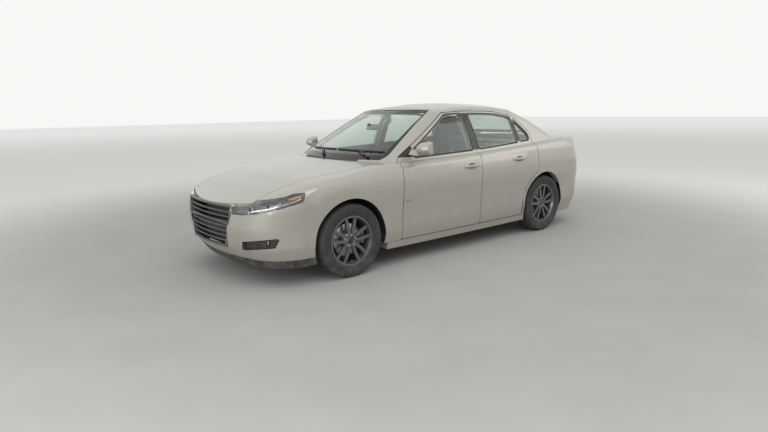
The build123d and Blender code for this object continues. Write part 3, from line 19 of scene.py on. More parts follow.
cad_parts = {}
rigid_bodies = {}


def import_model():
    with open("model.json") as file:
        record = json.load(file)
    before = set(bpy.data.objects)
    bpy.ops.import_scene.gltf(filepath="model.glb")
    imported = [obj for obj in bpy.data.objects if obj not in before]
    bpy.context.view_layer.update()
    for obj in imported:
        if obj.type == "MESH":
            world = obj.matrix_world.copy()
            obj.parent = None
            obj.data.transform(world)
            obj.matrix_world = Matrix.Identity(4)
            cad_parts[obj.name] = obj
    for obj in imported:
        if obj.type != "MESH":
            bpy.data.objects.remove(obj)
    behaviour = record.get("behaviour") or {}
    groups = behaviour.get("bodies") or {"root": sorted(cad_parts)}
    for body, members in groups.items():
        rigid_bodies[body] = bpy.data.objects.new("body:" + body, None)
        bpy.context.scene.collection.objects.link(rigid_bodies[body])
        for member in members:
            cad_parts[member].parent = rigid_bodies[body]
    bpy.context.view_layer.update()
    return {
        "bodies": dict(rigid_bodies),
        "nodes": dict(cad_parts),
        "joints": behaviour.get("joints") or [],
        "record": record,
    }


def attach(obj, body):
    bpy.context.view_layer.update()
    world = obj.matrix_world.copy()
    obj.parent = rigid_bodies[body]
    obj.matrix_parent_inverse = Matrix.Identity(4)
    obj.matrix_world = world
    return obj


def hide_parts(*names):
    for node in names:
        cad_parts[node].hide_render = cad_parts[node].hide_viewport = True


Colour = tuple[float, float, float]
Point = tuple[float, float, float]
Point2 = tuple[float, float]
Socket = Union[bpy.types.NodeSocket, float]

LOG = logging.getLogger("compact_sedan")
LEFT, RIGHT = 1, -1
SIDES = {"left": LEFT, "right": RIGHT}
# Distance under which vertices are one, least radius of a turned piece, and widest smooth angle
MERGE = 0.00002
AXIS_GAP = 0.00005
SMOOTH_BELOW = math.radians(27)
# Colours of road dust, of the print on the screens and of the pillars
DUST = (0.33, 0.30, 0.26)
INK = (0.004, 0.004, 0.004)
SATIN_BLACK = (0.012, 0.012, 0.013)


class Texture(Enum):
    """Surface structure that a finish is made of."""

    GRAIN = "moulded grain"
    WEAVE = "woven cloth"
    FLAKE = "metal flake"
    BRUSHED = "fine machining"


class ShaderBuilder:
    """Adds nodes to one node tree and links them in short calls."""

    def __init__(self, tree: bpy.types.NodeTree) -> None:
        """Keep the tree that the nodes go into.

        Args:
            tree: node tree of a material, a world or a group.
        """
        self.tree = tree

    def node(self, kind: str, inputs: Optional[dict] = None, **settings: object) -> bpy.types.Node:
        """Add one node.

        Args:
            kind: Blender's name of the node type.
            inputs: sockets or values by input name or number.
            settings: properties of the node itself.

        Returns:
            The new node.
        """
        made = self.tree.nodes.new(kind)
        for name, value in settings.items():
            setattr(made, name, value)
        for name, value in (inputs or {}).items():
            self.feed(made.inputs[name], value)
        return made

    def feed(self, target: bpy.types.NodeSocket, value: object) -> None:
        """Link a socket to an input, or set the input's own value.

        Args:
            target: input socket.
            value: output socket, or a plain value.
        """
        if isinstance(value, bpy.types.NodeSocket):
            self.tree.links.new(value, target)
        elif isinstance(value, tuple) and target.type == "RGBA" and len(value) == 3:
            target.default_value = (*value, 1.0)
        else:
            target.default_value = value

    def place(self) -> bpy.types.NodeSocket:
        """Place in the piece's own frame, in metres."""
        return self.node("ShaderNodeTexCoord").outputs["Object"]

    def axes(self) -> Sequence[bpy.types.NodeSocket]:
        """The place's x, y and z."""
        return self.node("ShaderNodeSeparateXYZ", {0: self.place()}).outputs

    def noise(self, scale: Socket, detail: float, place: Optional[Socket] = None) -> bpy.types.NodeSocket:
        """Soft noise.

        Args:
            scale: cells in one metre.
            detail: number of finer layers.
            place: where it is read, or the piece's own place.

        Returns:
            The noise's socket.
        """
        given = {"Vector": place or self.place(), "Scale": scale, "Detail": detail}
        return self.node("ShaderNodeTexNoise", given).outputs[0]

    def cells(self, scale: Socket) -> bpy.types.Node:
        """Small cells.

        Args:
            scale: cells in one metre.

        Returns:
            The cells' node.
        """
        return self.node("ShaderNodeTexVoronoi", {"Vector": self.place(), "Scale": scale})

    def shared(self, name: str, **inputs: float) -> Sequence[bpy.types.NodeSocket]:
        """One of the shared groups.

        Args:
            name: its name in SurfaceGroups.
            inputs: its settings.

        Returns:
            The group's outputs.
        """
        return self.node("ShaderNodeGroup", inputs, node_tree=SurfaceGroups.get(name)).outputs

    def maths(self, operation: str, first: Socket, second: Socket = 0.0,
              clamp: bool = False) -> bpy.types.NodeSocket:
        """One arithmetic step.

        Args:
            operation: Blender's name of the operation.
            first: left operand.
            second: right operand.
            clamp: keep the result between 0 and 1.

        Returns:
            The result's socket.
        """
        return self.node("ShaderNodeMath", {0: first, 1: second}, operation=operation,
                         use_clamp=clamp).outputs[0]

    def mix(self, factor: Socket, low: object, high: object) -> bpy.types.NodeSocket:
        """Blend of two colours.

        Args:
            factor: share of the second colour.
            low: first colour or socket.
            high: second colour or socket.

        Returns:
            The blended colour's socket.
        """
        made = self.node("ShaderNodeMix", {0: factor, 6: low, 7: high}, data_type="RGBA")
        return made.outputs[2]

    def ramp(self, value: Socket, low: float, high: float) -> bpy.types.NodeSocket:
        """Smooth step from 0 at low to 1 at high.

        Args:
            value: what is mapped.
            low: value that becomes 0.
            high: value that becomes 1.

        Returns:
            The mapped value's socket.
        """
        made = self.node("ShaderNodeMapRange", {"Value": value, "From Min": low, "From Max": high},
                         interpolation_type="SMOOTHSTEP")
        return made.outputs["Result"]


class SurfaceGroups:
    """Shader node groups that several materials share, each built once."""

    built: dict[str, bpy.types.NodeTree] = {}

    @classmethod
    def get(cls, name: str) -> bpy.types.NodeTree:
        """Return a shared group by name, building it the first time.

        Args:
            name: name of the group.

        Returns:
            The group's node tree.
        """
        if name not in cls.built:
            cls.built[name] = getattr(cls, "_" + name)()
        return cls.built[name]

    @staticmethod
    def _start(name: str, inputs: Sequence[str] = ("Scale", "Patch"),
               outputs: Sequence[str] = ("Height", "Mask")) -> tuple:
        """Open a group with value sockets.

        Args:
            name: name of the group.
            inputs: input names.
            outputs: output names.

        Returns:
            The group's builder, what it is given and what it gives.
        """
        tree = bpy.data.node_groups.new(name, "ShaderNodeTree")
        for labels, way in ((inputs, "INPUT"), (outputs, "OUTPUT")):
            for label in labels:
                tree.interface.new_socket(label, in_out=way, socket_type="NodeSocketFloat")
        given, result = tree.nodes.new("NodeGroupInput"), tree.nodes.new("NodeGroupOutput")
        return ShaderBuilder(tree), given.outputs, result.inputs

    @classmethod
    def _grain(cls) -> bpy.types.NodeTree:
        """Moulded or cast grain: fine height and soft patches."""
        made, given, result = cls._start("moulded_grain")
        cells = made.cells(given["Scale"]).outputs["Distance"]
        height = made.maths("ADD", made.maths("MULTIPLY", cells, 0.6), made.noise(given["Scale"], 3.0))
        made.feed(result["Height"], height)
        made.feed(result["Mask"], made.ramp(made.noise(given["Patch"], 5.0), 0.35, 0.68))
        return made.tree

    @classmethod
    def _weave(cls) -> bpy.types.NodeTree:
        """Over and under of crossing yarns, the same on every face of a piece."""
        made, given, result = cls._start("yarn_weave")
        x, y, z = [made.maths("SINE", made.maths("MULTIPLY", axis, given["Scale"])) for axis in made.axes()]
        crossed = [made.maths("MULTIPLY", one, other) for one, other in ((x, y), (y, z), (x, z))]
        height = made.maths("ADD", made.maths("ADD", crossed[0], crossed[1]), crossed[2])
        made.feed(result["Height"], made.maths("MULTIPLY", height, 0.5))
        fleck = made.maths("ADD", made.maths("MULTIPLY", height, 0.3), made.noise(given["Patch"], 4.0))
        made.feed(result["Mask"], made.ramp(fleck, 0.25, 0.85))
        return made.tree

    @classmethod
    def _flake(cls) -> bpy.types.NodeTree:
        """Metal flakes in lacquer: single bright cells over a slow change of tone."""
        made, given, result = cls._start("lacquer_flake")
        cells = made.cells(given["Scale"]).outputs["Color"]
        tone = made.node("ShaderNodeSeparateXYZ", {0: cells}).outputs[0]
        made.feed(result["Height"], tone)
        flecks = made.maths("MULTIPLY", made.ramp(tone, 0.72, 1.0), 0.7)
        slow = made.maths("MULTIPLY", made.noise(given["Patch"], 2.0), 0.3)
        made.feed(result["Mask"], made.maths("ADD", flecks, slow))
        return made.tree

    @classmethod
    def _brushed(cls) -> bpy.types.NodeTree:
        """Fine turning marks and soft stains of machined or cast metal."""
        made, given, result = cls._start("machined_metal")
        stretched = made.node("ShaderNodeMapping", {"Vector": made.place(), "Scale": (0.25, 1.0, 0.25)})
        made.feed(result["Height"], made.noise(given["Scale"], 4.0, stretched.outputs[0]))
        made.feed(result["Mask"], made.ramp(made.noise(given["Patch"], 6.0), 0.3, 0.75))
        return made.tree

    @classmethod
    def _dust(cls) -> bpy.types.NodeTree:
        """Road dust that thins out with height and gathers in patches."""
        made, given, result = cls._start("road_dust", ("Top", "Amount"), ("Mask",))
        rise = made.maths("DIVIDE", made.axes()[2], given["Top"])
        low = made.maths("SUBTRACT", 1.0, rise, clamp=True)
        spread = made.maths("MULTIPLY", low, made.ramp(made.noise(14.0, 8.0), 0.3, 0.7))
        made.feed(result["Mask"], made.maths("MULTIPLY", spread, given["Amount"], clamp=True))
        return made.tree

    @classmethod
    def _edge_wear(cls) -> bpy.types.NodeTree:
        """Worn outer edges, broken up by a fine noise."""
        made, given, result = cls._start("edge_wear", ("Amount",), ("Mask",))
        point = made.node("ShaderNodeNewGeometry").outputs["Pointiness"]
        broken = made.ramp(made.noise(120.0, 6.0), 0.42, 0.6)
        edge = made.maths("MULTIPLY", made.ramp(point, 0.53, 0.62), broken)
        made.feed(result["Mask"], made.maths("MULTIPLY", edge, given["Amount"], clamp=True))
        return made.tree


def open_material(name: str) -> tuple[bpy.types.Material, ShaderBuilder, bpy.types.Node]:
    """Start a material.

    Args:
        name: its name.

    Returns:
        The material, its builder and its shader.
    """
    material = bpy.data.materials.new(name)
    material.use_nodes = True
    tree = material.node_tree
    return material, ShaderBuilder(tree), tree.nodes["Principled BSDF"]


GROUP_OF = {Texture.GRAIN: "grain", Texture.WEAVE: "weave", Texture.FLAKE: "flake",
            Texture.BRUSHED: "brushed"}


@dataclass(frozen=True)
class Zone:
    """Part of a surface, between limits along the axes, that has a colour of its own."""

    colour: Colour
    limits: tuple[tuple[int, float, float], ...]
    soft: float = 0.002

    def mask(self, made: ShaderBuilder) -> bpy.types.NodeSocket:
        """Value that is 1 inside the zone.

        Args:
            made: builder of the material's tree.

        Returns:
            The mask's socket.
        """
        axes = made.axes()
        total: Socket = 1.0
        for axis, low, high in self.limits:
            for edge, soft in ((low, self.soft), (high, -self.soft)):
                total = made.maths("MULTIPLY", total, made.ramp(axes[axis], edge - soft, edge + soft))
        return total


@dataclass(frozen=True)
class Finish:
    """Opaque finish with structure, colour changes, dust and worn edges."""

    name: str
    slot: str
    colour: Colour
    second: Colour
    roughness: float
    metallic: float = 0.0
    texture: Texture = Texture.GRAIN
    scale: float = 400.0
    patch: float = 6.0
    share: float = 0.5
    bump: float = 0.12
    depth: float = 0.0004
    coat: float = 0.0
    sheen: float = 0.0
    dust_top: float = 0.5
    dust: float = 0.0
    wear: float = 0.0
    zones: tuple[Zone, ...] = ()

    def build(self) -> bpy.types.Material:
        """Make the material, or return it if it was made before.

        Returns:
            The material.
        """
        name = "finish_" + self.name
        if name in bpy.data.materials:
            return bpy.data.materials[name]
        material, made, shader = open_material(name)
        surface = made.shared(GROUP_OF[self.texture], Scale=self.scale, Patch=self.patch)
        mask = surface["Mask"]
        colour = made.mix(made.maths("MULTIPLY", mask, self.share), self.colour, self.second)
        if self.wear:
            worn = tuple(min(1.0, c * 1.8 + 0.04) for c in self.colour)
            colour = made.mix(made.shared("edge_wear", Amount=self.wear)["Mask"], colour, worn)
        for zone in self.zones:
            colour = made.mix(zone.mask(made), colour, zone.colour)
        spread = made.maths("MULTIPLY", mask, 0.08)
        rough = made.maths("ADD", spread, self.roughness - 0.04, clamp=True)
        if self.dust:
            dusty = made.shared("dust", Top=self.dust_top, Amount=self.dust)["Mask"]
            colour = made.mix(dusty, colour, DUST)
            rough = made.maths("ADD", rough, made.maths("MULTIPLY", dusty, 0.5), clamp=True)
        made.feed(shader.inputs["Base Color"], colour)
        made.feed(shader.inputs["Roughness"], rough)
        shader.inputs["Metallic"].default_value = self.metallic
        shader.inputs["Coat Weight"].default_value = self.coat
        shader.inputs["Coat Roughness"].default_value = 0.04
        shader.inputs["Sheen Weight"].default_value = self.sheen
        relief = {"Height": surface["Height"], "Strength": self.bump, "Distance": self.depth}
        made.feed(shader.inputs["Normal"], made.node("ShaderNodeBump", relief).outputs[0])
        return material


@dataclass(frozen=True)
class GlassFinish:
    """Clear or tinted glass, with a dark printed band where zones say so."""

    name: str
    slot: str
    tint: Colour
    roughness: float = 0.01
    bands: tuple[Zone, ...] = ()
    taper: Optional[tuple[float, float, float, float, float]] = None

    def build(self) -> bpy.types.Material:
        """Make the glass, or return it if it was made before.

        Returns:
            The material.
        """
        name = "glass_" + self.name
        if name in bpy.data.materials:
            return bpy.data.materials[name]
        material, made, shader = open_material(name)
        film = made.noise(3.0, 6.0)
        colour = made.mix(made.ramp(film, 0.3, 0.7), self.tint, tuple(c * 0.93 for c in self.tint))
        for zone in self.bands:
            colour = made.mix(zone.mask(made), colour, zone.colour)
        if self.taper:
            colour = made.mix(self._side_band(made), colour, INK)
        made.feed(shader.inputs["Base Color"], colour)
        rough = made.maths("ADD", made.maths("MULTIPLY", film, 0.02), self.roughness)
        made.feed(shader.inputs["Roughness"], rough)
        shader.inputs["Transmission Weight"].default_value = 1.0
        shader.inputs["IOR"].default_value = 1.45
        return material

    def _side_band(self, made: ShaderBuilder) -> bpy.types.NodeSocket:
        """Printed band along the slanted sides of a screen.

        Args:
            made: builder of the material's tree.

        Returns:
            The band's mask.
        """
        low, high, low_half, high_half, width = self.taper
        axes = made.axes()
        rise = made.maths("DIVIDE", made.maths("SUBTRACT", axes[2], low), high - low)
        growing = made.maths("MULTIPLY", rise, high_half - low_half)
        half = made.maths("ADD", growing, low_half - width)
        across = made.maths("ABSOLUTE", axes[1])
        return made.ramp(made.maths("SUBTRACT", across, half), -0.002, 0.002)


class Workshop:
    """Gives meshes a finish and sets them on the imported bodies."""

    retries = 25

    def __init__(self, frame: dict) -> None:
        """Keep the frame and prepare its surfaces for placing pieces.
        """
        self.frame = frame
        self.trees: dict[str, BVHTree] = {}
        self.count = 0
        self.smoothing = self._smoothing_tree()

    @staticmethod
    def _smoothing_tree() -> bpy.types.NodeTree:
        """Modifier that shades faces smoothly wherever they meet at a small angle."""
        tree = bpy.data.node_groups.new("smooth_small_angles", "GeometryNodeTree")
        tree.is_modifier = True
        tree.interface.new_socket("Geometry", in_out="INPUT", socket_type="NodeSocketGeometry")
        tree.interface.new_socket("Geometry", in_out="OUTPUT", socket_type="NodeSocketGeometry")
        start, end = tree.nodes.new("NodeGroupInput"), tree.nodes.new("NodeGroupOutput")
        merge = tree.nodes.new("GeometryNodeMergeByDistance")
        merge.inputs["Distance"].default_value = MERGE
        angle = tree.nodes.new("GeometryNodeInputMeshEdgeAngle")
        sharp = tree.nodes.new("FunctionNodeCompare")
        sharp.inputs[1].default_value = SMOOTH_BELOW
        normal = tree.nodes.new("GeometryNodeSetMeshNormal")
        normal.mode = "SHARPNESS"
        normal.inputs["Remove Custom"].default_value = True
        tree.links.new(start.outputs[0], merge.inputs["Geometry"])
        tree.links.new(merge.outputs[0], normal.inputs["Mesh"])
        tree.links.new(angle.outputs["Unsigned Angle"], sharp.inputs[0])
        tree.links.new(sharp.outputs[0], normal.inputs["Edge Sharpness"])
        tree.links.new(normal.outputs[0], end.inputs[0])
        return tree

    def smooth(self, piece: bpy.types.Object) -> None:
        """Add the smoothing modifier to a piece.

        Args:
            piece: mesh object.
        """
        modifier = piece.modifiers.new("smooth_small_angles", "NODES")
        modifier.node_group = self.smoothing

    def paint_node(self, node: str, finish: Union[Finish, GlassFinish]) -> None:
        """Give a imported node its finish.

        Args:
            node: name of the node.
            finish: its finish.
        """
        piece = self.frame["nodes"][node]
        material = finish.build()
        for slot in piece.material_slots:
            slot.link = "OBJECT"
            slot.material = material
        self.smooth(piece)

    def tree_of(self, node: str) -> BVHTree:
        """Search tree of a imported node's faces, built once.

        Args:
            node: name of the node.

        Returns:
            The tree.
        """
        if node not in self.trees:
            mesh = self.frame["nodes"][node].data
            self.trees[node] = BVHTree.FromPolygons([v.co.copy() for v in mesh.vertices],
                                                    [tuple(p.vertices) for p in mesh.polygons])
        return self.trees[node]

    def hit(self, node: str, start: Point, along: Point) -> Optional[tuple[Vector, Vector]]:
        """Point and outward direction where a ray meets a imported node.

        Args:
            node: name of the node.
            start: where the ray starts.
            along: its direction.

        Returns:
            The point and the normal there, or None where nothing is met.
        """
        direction = Vector(along).normalized()
        place, normal, _, _ = self.tree_of(node).ray_cast(Vector(start), direction)
        if place is None:
            return None
        return place, (normal if normal.dot(direction) < 0 else -normal)

    def on_surface(self, node: str, start: Point, along: Point,
                   towards: Optional[Point] = None) -> tuple[Vector, Vector]:
        """Like hit, but a ray that misses is tried again nearer to a second start.

        Args:
            node: name of the node.
            start: where the ray starts.
            along: its direction.
            towards: start that surely meets the node.

        Returns:
            The point and the normal there.
        """
        for step in range(self.retries):
            nearer = start if towards is None else Vector(start).lerp(Vector(towards), step / self.retries)
            found = self.hit(node, nearer, along)
            if found:
                return found
            if towards is None:
                break
        LOG.warning("a ray misses %s from %s", node, tuple(round(v, 3) for v in start))
        return Vector(start), -Vector(along).normalized()

    def body_of(self, node: str) -> str:
        """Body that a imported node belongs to.

        Args:
            node: name of the node.

        Returns:
            The body's name.
        """
        bodies = self.frame["record"]["behaviour"]["bodies"]
        return next(body for body, nodes in bodies.items() if node in nodes)

    def piece(self, name: str, mesh: bpy.types.Mesh, body: str, finish: Union[Finish, GlassFinish],
              smooth: bool = True) -> bpy.types.Object:
        """Put a mesh on a body.

        Args:
            name: name of the new piece.
            mesh: its mesh, in the frame's place.
            body: body that it rides on.
            finish: its finish.
            smooth: shade small angles smoothly.

        Returns:
            The new object.
        """
        made = bpy.data.objects.new(name, mesh)
        bpy.context.scene.collection.objects.link(made)
        mesh.materials.clear()
        mesh.materials.append(finish.build())
        if smooth:
            mesh.polygons.foreach_set("use_smooth", [True] * len(mesh.polygons))
            self.smooth(made)
        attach(made, body)
        self.count += 1
        LOG.info("%s rides on %s: %d faces", name, body, len(mesh.polygons))
        return made


class Form:
    """Builds meshes for single pieces; every method returns one mesh."""

    @staticmethod
    def join(name: str, meshes: Sequence[bpy.types.Mesh]) -> bpy.types.Mesh:
        """Put several meshes into one.

        Args:
            name: name of the result.
            meshes: meshes that are used up.

        Returns:
            The joined mesh.
        """
        made = bmesh.new()
        for mesh in meshes:
            made.from_mesh(mesh)
            bpy.data.meshes.remove(mesh)
        result = bpy.data.meshes.new(name)
        made.to_mesh(result)
        made.free()
        return result

    @staticmethod
    def raw(points: Sequence[Sequence[float]], faces: Sequence[Sequence[int]]) -> bpy.types.Mesh:
        """Mesh from points and faces, with its faces turned outwards.

        Args:
            points: corner points.
            faces: corner numbers of each face.

        Returns:
            The mesh.
        """
        mesh = bpy.data.meshes.new("form")
        mesh.from_pydata([tuple(p) for p in points], [], [tuple(f) for f in faces])
        made = bmesh.new()
        made.from_mesh(mesh)
        bmesh.ops.recalc_face_normals(made, faces=made.faces)
        made.to_mesh(mesh)
        made.free()
        return mesh

    @staticmethod
    def loft(rings: Sequence[Sequence[Sequence[float]]], closed: bool = False,
             caps: bool = True) -> bpy.types.Mesh:
        """Skin over rings of equally many points.

        Args:
            rings: the rings, in order.
            closed: join the last ring to the first.
            caps: close both ends.

        Returns:
            The mesh.
        """
        count = len(rings[0])
        points = [point for ring in rings for point in ring]
        faces: list[list[int]] = []
        last = len(rings) if closed else len(rings) - 1
        for k in range(last):
            a, b = k * count, (k + 1) % len(rings) * count
            faces += [[a + i, a + (i + 1) % count, b + (i + 1) % count, b + i] for i in range(count)]
        if caps and not closed:
            faces.append(list(range(count)))
            faces.append([(len(rings) - 1) * count + i for i in range(count)][::-1])
        return Form.raw(points, faces)

    @staticmethod
    def block(size: Point, at: Point, round_off: float = 0.004, turn: Optional[Matrix] = None,
              steps: int = 3) -> bpy.types.Mesh:
        """Block with rounded edges.

        Args:
            size: full lengths along the axes.
            at: its middle.
            round_off: radius of its edges.
            turn: rotation about its middle.
            steps: segments of each rounding.

        Returns:
            The mesh.
        """
        made = bmesh.new()
        bmesh.ops.create_cube(made, size=1.0)
        bmesh.ops.scale(made, vec=Vector(size), verts=made.verts)
        radius = min(round_off, 0.45 * min(size))
        bmesh.ops.bevel(made, geom=made.edges[:], offset=radius, segments=steps, profile=0.5,
                        affect="EDGES")
        if turn is not None:
            bmesh.ops.transform(made, matrix=turn.to_4x4(), verts=made.verts)
        bmesh.ops.translate(made, vec=Vector(at), verts=made.verts)
        mesh = bpy.data.meshes.new("form")
        made.to_mesh(mesh)
        made.free()
        return mesh

    @staticmethod
    def lathe(profile: Sequence[Point2], at: Point, axis: Point, steps: int = 48) -> bpy.types.Mesh:
        """Turned piece.

        Args:
            profile: (distance along the axis, radius) points.
            at: where distance 0 lies.
            axis: direction of the axis.
            steps: segments round the axis.

        Returns:
            The mesh.
        """
        along = Vector(axis).normalized()
        across = along.orthogonal().normalized()
        other = along.cross(across)
        rings = []
        for angle in turns(steps):
            out = across * math.cos(angle) + other * math.sin(angle)
            rings.append([Vector(at) + along * distance + out * max(radius, AXIS_GAP)
                          for distance, radius in profile])
        count = len(profile)
        points = [point for ring in rings for point in ring]
        faces = []
        for k in range(steps):
            a, b = k * count, (k + 1) % steps * count
            faces += [[a + i, a + i + 1, b + i + 1, b + i] for i in range(count - 1)]
        faces.append([k * count for k in range(steps)])
        faces.append([k * count + count - 1 for k in range(steps)][::-1])
        return Form.raw(points, faces)

    @staticmethod
    def sweep(path: Sequence[Sequence[float]], section: Sequence[Point2], up: Point = (0, 0, 1),
              closed: bool = False) -> bpy.types.Mesh:
        """Section carried along a path.

        Args:
            path: points of the path.
            section: (sideways, upward) points of the section.
            up: direction that the section's upward side keeps to.
            closed: the path returns to its start.

        Returns:
            The mesh.
        """
        points = [Vector(p) for p in path]
        rings = []
        for k, point in enumerate(points):
            before = points[k - 1] if k or closed else point
            after = points[(k + 1) % len(points)] if k + 1 < len(points) or closed else point
            ahead = (after - before).normalized()
            side = ahead.cross(Vector(up)).normalized()
            above = side.cross(ahead).normalized()
            rings.append([point + side * a + above * b for a, b in section])
        return Form.loft(rings, closed=closed, caps=not closed)

    @staticmethod
    def circle(radius: float, count: int = 10, flat: float = 1.0) -> list[Point2]:
        """Round or flattened section.

        Args:
            radius: its radius.
            count: number of points.
            flat: height over width.

        Returns:
            The section's points.
        """
        return [(radius * math.cos(angle), radius * flat * math.sin(angle)) for angle in turns(count)]


def lean(angle: float) -> Matrix:
    """Lean about the Y axis.

    Args:
        angle: degrees, negative to the rear.

    Returns:
        The rotation.
    """
    return Matrix.Rotation(math.radians(angle), 3, "Y")


def rectangle(u_low: float, v_low: float, u_high: float, v_high: float) -> tuple[Point2, ...]:
    """Corners of a rectangle.

    Args:
        u_low: first coordinate of one corner.
        v_low: its second coordinate.
        u_high: first coordinate of the opposite corner.
        v_high: its second coordinate.

    Returns:
        The four corners, in order.
    """
    return (u_low, v_low), (u_high, v_low), (u_high, v_high), (u_low, v_high)


def turns(count: int, first: float = 0.0) -> list[float]:
    """Even angles round a full circle.

    Args:
        count: how many.
        first: the first angle.

    Returns:
        The angles.
    """
    return [2 * math.pi * k / count + first for k in range(count)]


def rounded_outline(points: Sequence[Point2], radius: float, steps: int = 5,
                    spacing: float = 0.05) -> list[Point2]:
    """Outline with round corners and evenly spaced points on its sides.

    Args:
        points: corner points.
        radius: radius of the corners.
        steps: segments of each corner.
        spacing: longest distance between points on a side.

    Returns:
        The points of the outline.
    """
    result: list[Point2] = []
    count = len(points)
    for k in range(count):
        before, here, after = Vector(points[k - 1]), Vector(points[k]), Vector(points[(k + 1) % count])
        into, out = (before - here), (after - here)
        cut = min(radius, 0.45 * into.length, 0.45 * out.length)
        start, end = here + into.normalized() * cut, here + out.normalized() * cut
        if result:
            last = Vector(result[-1])
            gaps = int((start - last).length / spacing)
            result += [tuple(last.lerp(start, (i + 1) / (gaps + 1))) for i in range(gaps)]
        for i in range(steps + 1):
            t = i / steps
            result.append(tuple(start * (1 - t) ** 2 + here * 2 * t * (1 - t) + end * t * t))
    last, first = Vector(result[-1]), Vector(result[0])
    gaps = int((first - last).length / spacing)
    result += [tuple(last.lerp(first, (i + 1) / (gaps + 1))) for i in range(gaps)]
    return result


@dataclass(frozen=True)
class CarSizes:
    """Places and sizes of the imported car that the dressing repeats."""

    front_axle: float = 1.355
    rear_axle: float = -1.345
    wheel_y: float = 0.763
    tyre_radius: float = 0.316
    tyre_width: float = 0.205
    rim_radius: float = 0.203
    rim_flange: float = 0.215
    rim_width: float = 0.176
    hub_face: float = 0.045
    seat_y: float = 0.365
    wheel_tilt: float = 24.0
    steering: Point = (0.462, 0.365, 0.812)
    front_window: tuple = ((0.575, 0.966), (0.575, 1.018), (0.028, 1.330), (-0.200, 1.336), (-0.200, 0.990))
    rear_window: tuple = ((-0.297, 0.994), (-0.297, 1.334), (-0.690, 1.322), (-0.940, 1.285),
                          (-0.940, 1.030))
    quarter_window: tuple = ((-0.978, 1.036), (-0.978, 1.262), (-1.140, 1.110), (-1.150, 1.045))

    def wheels(self) -> list[tuple[str, int, Vector]]:
        """Name, side and middle of each wheel."""
        return [("%s_%s" % (axle, side), sign, Vector((x, sign * self.wheel_y, self.tyre_radius)))
                for side, sign in SIDES.items()
                for axle, x in (("front", self.front_axle), ("rear", self.rear_axle))]


SIZES = CarSizes()


